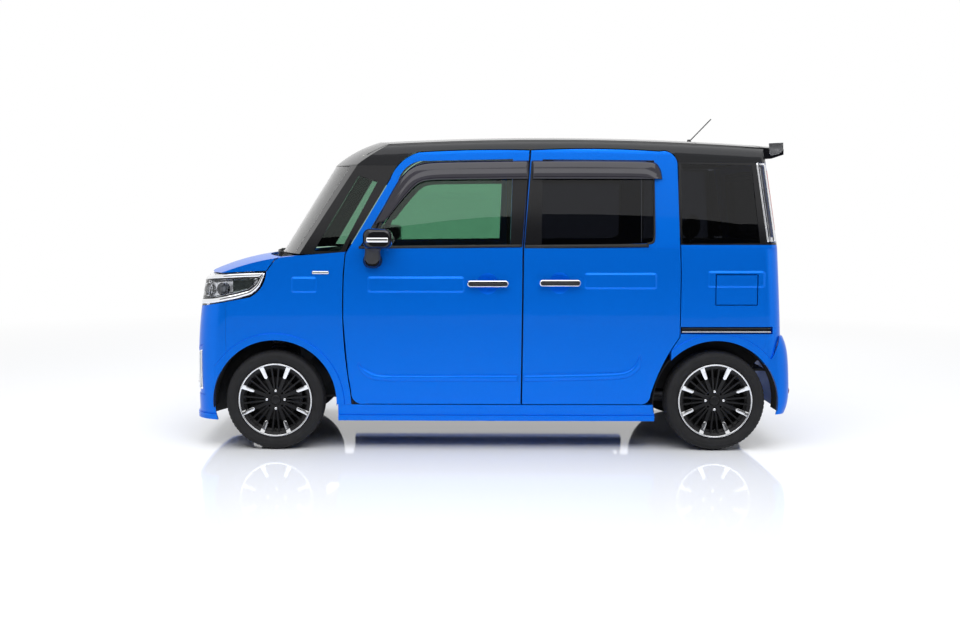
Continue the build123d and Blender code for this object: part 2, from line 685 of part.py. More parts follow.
def rear_frame():
    """The surround of the rear quarter window."""
    inner = -TAILGATE_HALF - PANEL_GAP
    frame = left_cab_wall & block((1000, 1700), (-1000, inner), (QUARTER_BELT_Z + SEAM, 1604))
    frame = frame - across(outline(SLIDE_DOOR, PANEL_GAP), *LEFT) - across(outline(TAIL_LAMP, SEAM), *LEFT)
    return frame - across(outline(QUARTER_WINDOW), *LEFT)


def tail_lamp():
    lamp = left_cab_wall & block((1000, 1700), (-1000, -TAILGATE_HALF - PANEL_GAP), (1100, 1700))
    return lamp & across(outline(TAIL_LAMP), *LEFT)


# ---------------------------------------------------------------- nose and tail


def head_lamp():
    lamp = left_half(TUB - tub(45.0)) & across(outline(HEAD_LAMP), -1000, -LAMP_INNER_Y)
    return lamp & under_bonnet(1.0)


def grille():
    """The black panel between the headlamps, with its bars."""
    reach = LAMP_INNER_Y - SEAM
    panel = (tub(16.0) - tub(32.0)) & across(outline(HEAD_LAMP, -0.5), -reach, reach)
    for z in GRILLE_BARS_Z:
        panel = panel + ((tub(4.0) - tub(20.0)) & block((-1800, -1400), (-reach, reach), (z - 14, z + 14)))
    return panel


def front_bumper():
    """The nose below the lamps, with its lower intake, its lower edge and the arch's rolled edge."""
    bumper = (TUB - TUB_SKIN) + ((tub(-LIP) - TUB_SKIN) & block((-1800, 0), (-1000, 1000), (SILL_Z, LIP_Z)))
    lip = arch_lip(X_FRONT_AXLE)
    room = block((-1800, FENDER_NOSE_X - SEAM), (-1000, 1000), (SILL_Z, 900))
    bumper = (bumper + lip + mirrored(lip)) & room
    bumper = bumper - across(outline(HEAD_LAMP, SEAM), -1000, 1000)
    bumper = bumper - disc(X_FRONT_AXLE, ARCH_Z, ARCH_R, -1000, 1000)
    bumper = bumper - block((-1800, -1400), (-420, 420), (250, 420))
    pocket = along(outline(LAMP_POCKET), -1800, -1560) - tub(POCKET_DEPTH)
    return bumper - pocket - mirrored(pocket)


def lower_grille():
    return (tub(SKIN + SEAT) - tub(22.0)) & block((-1800, -1500), (-430, 430), (240, 430))


def rear_bumper():
    outer = loft([Pos(0, 0, z) * bumper_outline(x, 0.0) for z, x in REAR_BUMPER_LEVELS])
    inner = loft([Pos(0, 0, z) * bumper_outline(x, SKIN) for z, x in REAR_BUMPER_LEVELS])
    skin = (outer - inner) & across(outline(REAR_BUMPER_SIDE), -1000, 1000)
    return skin - disc(X_REAR_AXLE, ARCH_Z, ARCH_R, -1000, 1000)


def bumper_outline(tail, inset):
    return bowed_outline(
        X_NOSE + inset, tail - inset, HALF_WIDTH - 2 - inset, NOSE_SAG, TAIL_SAG, SIDE_SAG,
        NOSE_CORNER_R - inset, TAIL_CORNER_R - inset,
    )


def bonnet_with_hinges():
    """The bonnet, its two gooseneck arms and their pins."""
    x, z = BONNET_AXIS
    lid = bonnet()
    for side in (-1, 1):
        mid = side * BONNET_HINGE_Y
        rows = ((x - 9, z), (x + 9, z), (x + 9, z - 8), (x - 60, z - 20), (x - 150, z + 2), (x - 150, z + 40),
                (x - 120, z + 40), (x - 120, z + 12), (x - 60, z))
        arm = across(outline(rows), mid - 5, mid + 5) & under_bonnet(6.0)
        lid = lid + arm + disc(x, z, KNUCKLE_R, mid - 5, mid + 5) + disc(x, z, PIN_R, mid - 17, mid + 17)
    return lid


def cowl():
    """The trough under the windscreen's foot and the wall behind the engine."""
    rows = ((-1335, 1034), (-1262, 1034), (-1229, 1092), (-1214, 1092), (-1250, 1022), (-1335, 1022))
    face = Plane.XZ * outline(tuple((x, z) for x, z in rows))
    ring = Pos(BOW_X, 0, 0) * revolve(Pos(-BOW_X, 0, 0) * face, Axis.Z, 360)
    trough = ring & block((-1500, -900), (-570, 570), (900, 1200))
    wall = block((BULKHEAD_X - SHEET, BULKHEAD_X), (-640, 640), (BULKHEAD_FOOT_Z, 1022))
    bracket = []
    x, z = BONNET_AXIS
    for side in (-1, 1):
        for shift in (-13, 13):
            mid = side * BONNET_HINGE_Y + shift
            ear = disc(x, z, 14, mid - 4, mid + 4) + block((x - 14, x + 14), (mid - 4, mid + 4), (z - 60, z))
            bracket.append(ear - disc(x, z, PIN_R + PIN_CLEAR, mid - 5, mid + 5))
        mid = side * BONNET_HINGE_Y
        foot = block((x - 30, BULKHEAD_X - SHEET / 2), (mid - 34, mid + 34), (z - 72, z - 48))
        bracket.append(foot)
    body = wall + trough
    link = block((-1260, BULKHEAD_X), (-500, 500), (1010, 1022))
    return body + link + bracket


def fuel_lid():
    """The filler lid, with two lugs at its front edge that carry the hinge pin."""
    x, y = FUEL_AXIS
    lid = (left_half(TUB - tub(4.0)) + band(*QUARTER_BAND)) & across(outline(FUEL_LID), -1000, -650)
    for z in (846, 946):
        lug = block((x - 4, x + 4), (-740, y), (z, z + 12)) & tub(1.0)
        lid = lid + lug + post(x, y, 6, z, z + 12)
    return lid + post(x, y, FUEL_PIN_R, 846, 958)


# ---------------------------------------------------------------- structure


def sill():
    """The side skirt, its lower edge standing out."""
    side = TUB & block((-855, 915), (-1000, -600), (SILL_Z, SILL_TOP_Z))
    side = side + (tub(-LIP) & block((-855, 915), (-1000, -600), (SILL_Z, LIP_Z)))
    return side - front_arch(ARCH_R + 5) - rear_arch(ARCH_R)


@cache
def hinge_pillar():
    """The post that carries the door, with two gooseneck arms round the door's pins."""
    x, y = DOOR_AXIS
    pillar = tub(SKIN + SEAT) & block((-930, -700), (-1000, -640), (SILL_TOP_Z, 1090)) & under_bonnet(14.0)
    pillar = pillar - across(outline(FRONT_DOOR, PANEL_GAP), *LEFT) - front_arch(ARCH_R + 5)
    pillar = pillar - nose_swing(HINGE_CLEAR)
    for z in DOOR_HINGES_Z:
        half = KNUCKLE_HEIGHT / 2
        arm = block((x - 6, x + 6), (y, y + 64), (z - half, z + half))
        arm = arm + block((x - 90, x + 6), (y + 52, y + 64), (z - half, z + half))
        arm = arm + post(x, y, KNUCKLE_R, z - half, z + half)
        pillar = pillar + arm
    for z in DOOR_HINGES_Z:
        pillar = pillar - post(x, y, PIN_R + PIN_CLEAR, z - 40, z + 40)
    return pillar


def centre_pillar():
    """The post behind the doors' meeting edges, with the slide door's catch."""
    low = tub(DOOR_WALL + 7) - tub(DOOR_WALL + 45)
    high = cabin(FRAME_WALL + 7) - cabin(FRAME_WALL + 45)
    column = (low & block(PILLAR_X, (-1000, -300), (SILL_TOP_Z, BELT_Z)))
    column = column + (high & block(PILLAR_X, (-1000, -300), (BELT_Z, 1640)))
    catch = (tub(DOOR_WALL + SEAT) - tub(DOOR_WALL + 30)) & block((190, 226), (-1000, -300), (700, 740))
    return column + catch


@cache
def floor_pan():
    """The cabin floor, its toe board between the front wheels, and the raised load floor."""
    main = block((-860, 620), (-599.7, 599.7), (FLOOR_Z - SHEET, FLOOR_Z))
    front = BULKHEAD_X - SHEET
    head = BULKHEAD_FOOT_Z - SEAT
    toe = across(outline(((BULKHEAD_X, head), (BULKHEAD_X, 400), (-980, FLOOR_Z), (-860, FLOOR_Z),
                          (-860, FLOOR_Z - SHEET), (-986, FLOOR_Z - SHEET), (front, 394), (front, head))),
                 -392.7, 392.7)
    step = across(outline(((608, FLOOR_Z - 12), (620, FLOOR_Z - 12), (690, LOAD_FLOOR_Z - 12),
                           (1570, LOAD_FLOOR_Z - 12), (1570, LOAD_FLOOR_Z), (682, LOAD_FLOOR_Z),
                           (608, FLOOR_Z))), -539.7, 539.7)
    return main + toe + step


def front_rails():
    """The two rails that carry the engine and the strut towers."""
    made = []
    for side in (-1, 1):
        near, far = sorted((side * 330, side * 392))
        rail = block((-1600, BULKHEAD_X - SHEET - SEAT), (near, far), (420, 500))
        inner, outer = sorted((side * 380, side * 392))
        web = block((-1260, -1116), (inner, outer), (480, 742))
        x, y, z = KINGPIN_HEAD
        cx, cy = X_FRONT_AXLE + x, side * abs(y)
        a, b = sorted((side * 380, side * 545))
        top = block((cx - 65, cx + 65), (a, b), (730, 742))
        head = Vector(cx, cy, z)
        foot = Vector(X_FRONT_AXLE + KINGPIN_FOOT[0], side * abs(KINGPIN_FOOT[1]), KINGPIN_FOOT[2])
        start = Plane(origin=head - (head - foot).normalized() * 40, z_dir=head - foot)
        bore = extrude(start * Circle(STRUT_PIN_R + PIN_CLEAR), amount=80)
        made.append(rail + web + top - bore)
    return made


def kingpin(side):
    """The steering axis of one side: foot and head."""
    foot = Vector(X_FRONT_AXLE + KINGPIN_FOOT[0], side * abs(KINGPIN_FOOT[1]), KINGPIN_FOOT[2])
    head = Vector(X_FRONT_AXLE + KINGPIN_HEAD[0], side * abs(KINGPIN_HEAD[1]), KINGPIN_HEAD[2])
    return foot, head, (head - foot).normalized()


def along_pin(side, start, end, radius):
    """A round bar on the steering axis, from start to end as heights above the foot along it."""
    foot, head, up = kingpin(side)
    return extrude(Plane(origin=foot + up * start, z_dir=up) * Circle(radius), amount=end - start)


def subframe():
    """The cross member and the lower arms out to the ball joints."""
    beam = block((-1260, -1080), (-392, 392), (200, 250)) - block((-1240, -1100), (-330, 330), (190, 230))
    for side in (-1, 1):
        foot, head, up = kingpin(side)
        rows = ((-1250, side * 330), (-1090, side * 330), (foot.X + 22, foot.Y), (foot.X - 22, foot.Y))
        arm = Pos(0, 0, 198) * extrude(make_face(Polyline(rows, close=True).edges()).face(), amount=24)
        arm = arm + post(foot.X + 1, foot.Y, 24, 198, 222) - along_pin(side, -60, 90, BALL_R + 0.1)
        beam = beam + arm
        near, far = sorted((side * 335, side * 388))
        beam = beam + block((-1260, -1200), (near, far), (240, 419.7))
    return beam


def knuckle(side):
    """The upright with its spindle, and the strut that turns with it."""
    foot, head, up = kingpin(side)
    top_len = (head - foot).length
    upright = along_pin(side, 42, 175, 24) + along_pin(side, -8, 60, BALL_R)
    spindle = disc(X_FRONT_AXLE, TYRE_R, SPINDLE_R, *sorted((side * 560, side * 655)))
    plate = disc(X_FRONT_AXLE, TYRE_R, 48, *sorted((side * 566, side * 584)))
    strut = along_pin(side, 150, top_len - 30, 25) + along_pin(side, top_len - 60, top_len + 12, STRUT_PIN_R)
    return upright + spindle + plate + strut + caliper(side)


def caliper(side):
    """The brake caliper over the disc's rear edge, with its bracket."""
    inner, outer = CALIPER_FACES
    x, reach = X_FRONT_AXLE, BRAKE_R + 26
    low, high = [HALF_TRACK + face for face in DISC_FACES]
    body = disc(x, TYRE_R, reach, *sorted((side * inner, side * outer)))
    body = body - disc(x, TYRE_R, 80, *sorted((side * (inner - 1), side * (outer + 1))))
    gap = sorted((side * (low - CALIPER_CLEAR), side * (high + CALIPER_CLEAR)))
    body = body - disc(x, TYRE_R, BRAKE_R + CALIPER_CLEAR, *gap)
    body = body & block((x + 40, x + 200), (-900, 900), (TYRE_R - 52, TYRE_R + 52))
    foot = block((x + 30, x + 104), sorted((side * 574, side * 584)), (TYRE_R - 18, TYRE_R + 18))
    clear_x = x + HUB_TAIL_R + HUB_TAIL_CLEAR
    bracket = block((clear_x, x + 104), sorted((side * 574, side * (inner + 6))), (TYRE_R - 18, TYRE_R + 18))
    return body + bracket + foot


def tyre_section():
    """Half the tyre's section and its mirror, as a face in r and w."""
    w = TYRE_WIDTH / 2
    bead = RIM_WIDTH / 2 - 6.4
    rows = [
        (BEAD_R + SEAT, bead - 14), (BEAD_R + SEAT, bead), (RIM_R + 2, bead),
        (TYRE_R - 6, w - 20, TYRE_R - 38.5, w), (TYRE_R, 0, TYRE_R - 2.15, w - 45),
    ]
    inner = [
        (TYRE_R - TYRE_WALL, 0), (TYRE_R - TYRE_WALL - 5, w - 32, TYRE_R - TYRE_WALL - 1, w - 60),
        (RIM_R + 6, bead - 12, TYRE_R - 40, w - 11),
    ]
    return rows, inner


def tyre():
    rows, inner = tyre_section()
    face = outline(tuple(inner[:1]) + tuple(inner[1:]) + tuple(rows))
    half = revolve(Plane.XZ * face, Axis.Z, 360)
    return half + mirror(half, about=Plane.XY)


def rim():
    """The wheel: barrel, flanges, sixteen thin and eight broad spokes, and the hub."""
    w = RIM_WIDTH / 2
    section = outline((
        (RIM_R, w), (RIM_R, w - 4), (RIM_R - 6, w - 5.8), (BEAD_R, w - 6), (BEAD_R, w - 26),
        (BEAD_R - 14, w - 34), (BEAD_R - 14, 30 - w), (BEAD_R, 22 - w), (BEAD_R, 6 - w), (RIM_R - 6, 5.8 - w),
        (RIM_R, 4 - w), (RIM_R, -w), (RIM_R - 5, -w), (BEAD_R - 7, 6 - w), (BEAD_R - 21, 30 - w),
        (BEAD_R - 21, w - 36), (BEAD_R - 9, w - 26), (BEAD_R - 9, w - 10), (RIM_R - 8, w),
    ))
    wheel = revolve(Plane.XZ * section, Axis.Z, 360)
    dish = outline((
        (HUB_BORE_R, 20), (HUB_BORE_R, 46), (60, 46), (BEAD_R - 4, w - 6, 130, 56),
        (BEAD_R - 4, w - 24), (62, 26, 130, 40), (58, 14), (HUB_BORE_R, 14),
    ))
    plan = Sketch() + Circle(62)
    for k in range(SPOKES):
        plan += Rot(0, 0, (k + 0.5) * 360 / SPOKES) * Pos(115, 0) * Rectangle(158, 19)
        for turn in (0.36, 0.64):
            plan += Rot(0, 0, (k + 0.5 + turn) * 360 / SPOKES) * Pos(115, 0) * Rectangle(158, 9)
    spokes = revolve(Plane.XZ * dish, Axis.Z, 360) & extrude(Pos(0, 0, -10) * plan, amount=90)
    for k in range(4):
        spokes = spokes - (Rot(0, 0, 45 + 90 * k) * Pos(50, 0, 30) * Cylinder(6, 60))
    return wheel + spokes


def hub():
    """The bearing hub with its brake disc, close behind the rim's centre."""
    section = outline((
        (SPINDLE_R + BEARING_CLEAR, -32), (SPINDLE_R + BEARING_CLEAR, 14 - SEAT), (60, 14 - SEAT), (60, 4),
        (BRAKE_R, 4), (BRAKE_R, -8), (HUB_TAIL_R, -8), (HUB_TAIL_R, -32),
    ))
    return revolve(Plane.XZ * section, Axis.Z, 360)


def placed_wheel(shape, x, side):
    """A wheel piece, built about Z with its outside up, set on its axle."""
    return Pos(x, side * HALF_TRACK, TYRE_R) * Rot(-90 * side, 0, 0) * shape


def rear_axle():
    beam = disc(1120, 300, 34, -500, 500)
    for side in (-1, 1):
        arm = rod((860, side * 440, 300), (1240, side * 530, 285), 22)
        spindle = disc(X_REAR_AXLE, TYRE_R, SPINDLE_R, *sorted((side * 520, side * 655)))
        plate = disc(X_REAR_AXLE, TYRE_R, 45, *sorted((side * 520, side * 584)))
        coil = post(1180, side * 455, 45, 310, LOAD_FLOOR_Z - 12 - SEAT)
        mount = block((835, 885), (side * 440 - 35, side * 440 + 35), (300, LOAD_FLOOR_Z - 12 - SEAT))
        beam = beam + arm + spindle + plate + coil + mount
    return beam


def arch_liners():
    """The inner wheel arches of one side."""
    front = front_arch(ARCH_R + 4) - front_arch(ARCH_R)
    outer_room = block((-1700, -800), (-722, -545), (300, 700))
    front = front & (outer_room + block((-1110, -800), (-722, -393), (300, 700)))
    front = front & tub(SKIN + SEAT) - hinge_pillar()
    rear = (disc(X_REAR_AXLE, ARCH_Z, ARCH_R + 4, -724, -540) - disc(X_REAR_AXLE, ARCH_Z, ARCH_R, -760, -544))
    rear = rear & block((800, 1700), (-800, -500), (330, 700)) & tub(DOOR_WALL + SEAT)
    rear = rear - across(outline(REAR_BUMPER_SIDE, 12.0), -800, -400)
    return [front, rear]


# ---------------------------------------------------------------- fittings outside and below


def pipe(points, radius):
    """A round pipe through a list of points, with ball joints at its bends."""
    made = Pos(*points[0]) * Sphere(0.5)
    for start, end in zip(points, points[1:]):
        made = made + rod(start, end, radius)
    for point in points[1:-1]:
        made = made + Pos(*point) * Sphere(radius)
    return made


def exhaust():
    """The pipe from the engine's back to the silencer, which hangs from the load floor."""
    route = ((ENGINE_X[1] + SEAT, EXHAUST_Y, 450), (-1180, EXHAUST_Y, 330), (-1080, EXHAUST_Y, 290),
             (-1000, EXHAUST_Y, PIPE_Z), (1400, EXHAUST_Y, PIPE_Z), (1480, EXHAUST_Y + 60, 275))
    made = pipe(route, PIPE_R) + disc(1500, 285, 72, 60, 440)
    made = made + rod((1500, 410, 262), (1655, 410, 178), PIPE_R)
    made = made - block((-1700, ENGINE_X[1] + SEAT), (-800, 800), (0, 900))
    for y in (120, 380):
        made = made + post(1500, y, 6, 300, LOAD_FLOOR_Z - SHEET - SEAT)
    return made


def fuel_tank():
    """The tank under the rear seat."""
    tank = block((706, 1046), (-400, 96), (232, LOAD_FLOOR_Z - SHEET - SEAT))
    return fillet(tank.edges().filter_by(Axis.Y) + tank.edges().filter_by(Axis.X), 22)


def wiper(spindle_y, inner_angle, outer_angle):
    """A wiper parked over the trough: spindle, arm and a blade that follows the glass."""
    x = BOW_X - sqrt(SPINDLE_SWEEP_R**2 - spindle_y**2)
    middle = radians((inner_angle + outer_angle) / 2)
    px, py = BOW_X - WIPER_SWEEP_R * cos(middle), -WIPER_SWEEP_R * sin(middle)
    face = Pos(WIPER_SWEEP_R, WIPER_Z) * Rectangle(9, 16)
    blade = revolve(Plane.XZ * face, Axis.Z, outer_angle - inner_angle)
    blade = Pos(BOW_X, 0, 0) * Rot(0, 0, 180 + inner_angle) * blade
    spindle = post(x, spindle_y, 8, TROUGH_Z + SEAT, WIPER_Z + 8)
    return blade + spindle + rod((x, spindle_y, WIPER_Z), (px, py, WIPER_Z), 5)


def antenna():
    """A short mast that leans back from its foot on the roof."""
    foot = Pos(*ANTENNA_FOOT) * Cone(17, 9, 26) - CAB
    return foot + rod(ANTENNA_FOOT, ANTENNA_TIP, 3.2) - cabin(-SEAT)


# ---------------------------------------------------------------- cabin fittings


@cache
def dashboard():
    rows = ((-1099.7, 1010), (-900, 1060), (-835, 1020, -850, 1055), (-850, 820), (-960, 760), (-1099.7, 760))
    return across(outline(rows), -622, 622)


def steering_wheel():
    """The wheel on its column, to the right of the middle."""
    mid = Vector(-700, 330, 985)
    up = Vector(0.82, 0, 0.57)
    plane = Plane(origin=mid, z_dir=up)
    ring = plane * Torus(178, 15)
    boss = extrude(plane * Circle(60), amount=-35)
    spokes = extrude(plane * Rectangle(46, 350), amount=-20)
    spokes = spokes + extrude(plane * Pos(80, 0) * Rectangle(170, 46), amount=-20)
    column = extrude(Plane(origin=mid - up * 30, z_dir=up * -1) * Circle(28), amount=140)
    wheel = (spokes & extrude(plane * Circle(178), amount=-60)) + ring + boss + column
    return wheel - dashboard()


def padded(rows, y):
    """An upright pad lofted through level sections. Columns: z, middle x, depth, width, corner radius."""
    return loft([Pos(x, y, z) * RectangleRounded(deep, wide, corner) for z, x, deep, wide, corner in rows])


def cushion(x, y, z, edge):
    """A seat cushion with rounded edges, its ranges given along each axis."""
    return fillet(block(x, y, z).edges(), edge)


def front_seat(side):
    """One front seat: base, cushion, leaning back and head rest on its two stalks."""
    y = side * 320
    base = block((-420, -60), (y - 190, y + 190), (FLOOR_Z, 440))
    back = padded(((560, 30, 120, 440, 45), (760, 88, 130, 490, 50), (1000, 158, 110, 470, 45),
                   (1165, 205, 70, 400, 32)), y)
    head = padded(((1190, 212, 84, 210, 38), (1270, 222, 104, 250, 46), (1365, 234, 70, 200, 32)), y)
    seat = base + cushion((-500, 60), (y - 245, y + 245), (430, 590), 45) + back + head
    for shift in (-50, 50):
        seat = seat + post(214, y + shift, 7, 1140, 1210)
    return seat


def rear_seat():
    """The rear bench with its two head rests."""
    seat = block((700, 1000), (-470, 470), (LOAD_FLOOR_Z, 500))
    seat = seat + cushion((530, 1030), (-530, 530), (490, 640), 45)
    for side in (-1, 1):
        y = side * 265
        back = padded(((600, 1020, 110, 500, 40), (850, 1095, 115, 525, 45), (1160, 1180, 70, 500, 32)), y)
        head = padded(((1175, 1180, 70, 210, 32), (1240, 1188, 84, 240, 38), (1315, 1196, 60, 200, 28)), y)
        seat = seat + back + head + post(1184, y - 45, 7, 1120, 1200) + post(1184, y + 45, 7, 1120, 1200)
    return seat - floor_pan()


# ---------------------------------------------------------------- nodes


def pair(make):
    """A left-hand piece and its twin."""
    shape = make()
    items = shape if isinstance(shape, list) else [shape]
    return items + [mirrored(s) for s in items]


for name, shape in (
    ("front_door", front_door()), ("door_frame", door_frame()), ("door_glass", door_glass()),
    ("mirror", door_mirror()), ("handle", handle(*FRONT_HANDLE)),
):
    save(name + "_left", shape)
    save(name + "_right", mirrored(shape))

for name, make in (
    ("slide_doors", slide_door), ("slide_frames", slide_frame), ("slide_handles", slide_handle),
    ("front_fenders", front_fender), ("screen_posts", screen_post), ("rear_frames", rear_frame),
    ("side_glass", side_glass), ("tail_lamps", tail_lamp), ("head_lamps", head_lamp), ("side_sills", sill),
    ("hinge_pillars", hinge_pillar), ("centre_pillars", centre_pillar), ("arch_liners", arch_liners),
):
    save(name, pair(make))

save("rear_quarters", [filler_quarter(), mirrored(plain_quarter())])
save("roof_panel", roof_panel())
save("windscreen", glass_wall & screen_cut(-SEAT))
save("bonnet", bonnet_with_hinges())
save("tailgate", tailgate())
save("tailgate_glass", glass_wall & along(outline(REAR_OPENING, -SEAT), 1300, 1800))
save("spoiler", spoiler())
save("grille", [grille(), lower_grille()])
save("front_bumper", front_bumper())
save("rear_bumper", rear_bumper())
save("cowl", cowl())
save("fuel_lid", fuel_lid())
save("floor_pan", floor_pan())
save("front_rails", front_rails())
save("subframe", subframe())
save("rear_axle", rear_axle())
save("dashboard", dashboard())
save("steering_wheel", steering_wheel())
save("front_seats", [front_seat(-1), front_seat(1)])
save("rear_seat", rear_seat())
save("engine", block(ENGINE_X, (-329.7, 329.7), (420, 900)))
save("exhaust", exhaust())
save("fuel_tank", fuel_tank())
save("wipers", [wiper(-470, 0.5, 17.0), wiper(130, -17.0, -1.0)])
save("antenna", antenna())

tyre_shape, rim_shape, hub_shape = tyre(), rim(), hub()
for end, x in (("front", X_FRONT_AXLE), ("rear", X_REAR_AXLE)):
    for hand, side in (("left", -1), ("right", 1)):
        save(f"tyre_{end}_{hand}", placed_wheel(tyre_shape, x, side))
        save(f"rim_{end}_{hand}", [placed_wheel(rim_shape, x, side), placed_wheel(hub_shape, x, side)])
for hand, side in (("left", -1), ("right", 1)):
    save(f"knuckle_{hand}", knuckle(side))
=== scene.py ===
"""Looks of a tall-bodied kei car: paint, glass, lamps, wheels, trim and cabin, on a pale studio floor.

Metres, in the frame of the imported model: +X rearward, +Y to the car's right, +Z up.
Left-hand pieces are made first and their right-hand twins by mirroring in Y.
"""

import math

import bmesh
import bpy
from mathutils import Matrix, Vector
from mathutils.bvhtree import BVHTree


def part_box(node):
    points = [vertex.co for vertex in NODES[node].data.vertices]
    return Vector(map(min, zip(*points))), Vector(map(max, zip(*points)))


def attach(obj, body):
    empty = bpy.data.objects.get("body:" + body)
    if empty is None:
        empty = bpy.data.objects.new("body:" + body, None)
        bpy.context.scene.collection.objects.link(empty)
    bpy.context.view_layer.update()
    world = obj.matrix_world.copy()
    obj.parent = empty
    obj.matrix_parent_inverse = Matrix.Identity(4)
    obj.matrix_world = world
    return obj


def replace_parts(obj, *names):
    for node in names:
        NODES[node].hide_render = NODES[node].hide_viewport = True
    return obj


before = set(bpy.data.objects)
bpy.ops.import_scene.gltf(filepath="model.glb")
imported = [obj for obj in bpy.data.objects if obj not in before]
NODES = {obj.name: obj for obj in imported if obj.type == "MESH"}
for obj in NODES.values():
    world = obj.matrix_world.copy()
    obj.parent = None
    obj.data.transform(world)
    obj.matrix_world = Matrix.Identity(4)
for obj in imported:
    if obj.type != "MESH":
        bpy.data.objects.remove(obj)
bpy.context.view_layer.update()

# ---------------------------------------------------------------- driving sizes

FRONT_AXLE_X = -1.208
REAR_AXLE_X = 1.252
TYRE_R = 0.280
HALF_TRACK = 0.646
HANDS = ("left", "right")
UP, REARWARD, RIGHTWARD = Vector((0, 0, 1)), Vector((1, 0, 0)), Vector((0, 1, 0))

# ---------------------------------------------------------------- material helpers


class Shader:
    """A node tree being drawn, with a short way to add each kind of node."""

    def __init__(self, owner, output="OutputMaterial", coords="Object"):
        self.owner = bpy.data.materials.new(owner) if isinstance(owner, str) else owner
        self.owner.use_nodes = True
        self.tree = self.owner.node_tree
        self.tree.nodes.clear()
        self.surface = self.add(output).inputs["Surface"]
        self.spot = self.add("TexCoord").outputs[coords]

    def feed(self, socket, value):
        """Sets a socket to a number or a colour, or links another node's output to it."""
        if isinstance(value, bpy.types.NodeSocket):
            self.tree.links.new(value, socket)
        else:
            socket.default_value = (*value, 1.0) if isinstance(value, tuple) else value

    def add(self, kind, **inputs):
        """A new node; its inputs are named with spaces as underscores."""
        node = self.tree.nodes.new("ShaderNode" + kind)
        for key, value in inputs.items():
            self.feed(node.inputs[key.replace("_", " ")], value)
        return node

    def operate(self, kind, operation, *values):
        """The result of a maths node."""
        node = self.add(kind)
        node.operation = operation
        for socket, value in zip(node.inputs, values):
            self.feed(socket, value)
        return node.outputs["Value"]

    def principled(self, color, rough, **inputs):
        """The surface's one Principled node."""
        bsdf = self.add("BsdfPrincipled", Base_Color=color, Roughness=rough, **inputs)
        self.feed(self.surface, bsdf.outputs[0])
        return bsdf

    def mix(self, share, first, second):
        """Makes the surface a mix of two shaders; share is how much of the second."""
        node = self.add("MixShader", Fac=share)
        for socket, shader in zip(node.inputs[1:], (first, second)):
            self.feed(socket, shader.outputs[0])
        self.feed(self.surface, node.outputs[0])

    def noise(self, scale, detail=3.0):
        return self.add("TexNoise", Scale=scale, Detail=detail, Vector=self.spot).outputs["Fac"]

    def cells(self, scale):
        return self.add("TexVoronoi", Scale=scale, Vector=self.spot).outputs["Distance"]

    def along(self, axis):
        """The place along X, Y or Z."""
        return self.add("SeparateXYZ", Vector=self.spot).outputs[axis]

    def spread(self, value, low, high, to_low, to_high):
        """A value mapped from one range to another."""
        node = self.add("MapRange", Value=value, From_Min=low, From_Max=high, To_Min=to_low, To_Max=to_high)
        return node.outputs["Result"]

    def ramp(self, value, first, last):
        """A colour between two stops, each a place and a colour."""
        node = self.add("ValToRGB", Fac=value)
        for stop, (place, color) in zip(node.color_ramp.elements, (first, last)):
            stop.position, stop.color = place, (*color, 1.0)
        return node.outputs["Color"]

    def bump(self, bsdf, height, strength, distance):
        node = self.add("Bump", Strength=strength, Distance=distance, Height=height)
        self.feed(bsdf.inputs["Normal"], node.outputs["Normal"])


def scaled(color, share):
    """A colour made lighter or darker."""
    return tuple(min(1.0, c * share) for c in color)


def paint(name, deep, bright, rough, shine, roof=None):
    """Clear-coated paint with fine flakes; roof is a height and the colour above it."""
    mat = Shader(name)
    color = mat.ramp(mat.cells(900.0), (0.0, bright), (0.55, deep))
    if roof:
        above = mat.spread(mat.along("Z"), roof[0], roof[0] + 0.001, 0.0, 1.0)
        blend = mat.add("Mix")
        blend.data_type = "RGBA"
        for key, value in (("Factor", above), ("A", color), ("B", roof[1])):
            mat.feed(blend.inputs[key], value)
        color = blend.outputs["Result"]
    coat = {"Coat_Weight": shine, "Coat_Roughness": 0.03, "Coat_IOR": 1.45}
    bsdf = mat.principled(color, rough, Metallic=0.55, Specular_IOR_Level=0.1, **coat)
    mat.bump(bsdf, mat.noise(60.0, 2.0), 0.02, 0.001)
    return mat.owner


def plastic(name, color, rough, grain_scale=900.0, grain=0.12, spec=0.5):
    """Moulded plastic with a fine grain and slightly uneven gloss."""
    mat = Shader(name)
    grains = mat.noise(grain_scale, 2.0)
    gloss = mat.spread(grains, 0.2, 0.8, rough * 0.85, min(1.0, rough * 1.15))
    shade = mat.ramp(mat.noise(7.0), (0.3, scaled(color, 0.85)), (0.7, scaled(color, 1.12)))
    mat.bump(mat.principled(shade, gloss, Specular_IOR_Level=spec), grains, grain, 0.0006)
    return mat.owner


def metal(name, color, rough, spread=0.35, scale=40.0, bump_strength=0.05):
    """Bare metal whose roughness wanders with handling."""
    mat = Shader(name)
    gloss = mat.spread(mat.noise(scale, 4.0), 0.2, 0.8, rough * (1 - spread), rough * (1 + spread))
    bsdf = mat.principled(color, gloss, Metallic=1.0)
    mat.bump(bsdf, mat.noise(scale * 20, 2.0), bump_strength, 0.0004)
    return mat.owner


def rubber(name, color, rough):
    mat = Shader(name)
    shade = mat.ramp(mat.noise(18.0, 6.0), (0.25, scaled(color, 0.75)), (0.75, scaled(color, 1.3)))
    mat.bump(mat.principled(shade, rough, Specular_IOR_Level=0.3), mat.noise(500.0), 0.15, 0.0005)
    return mat.owner


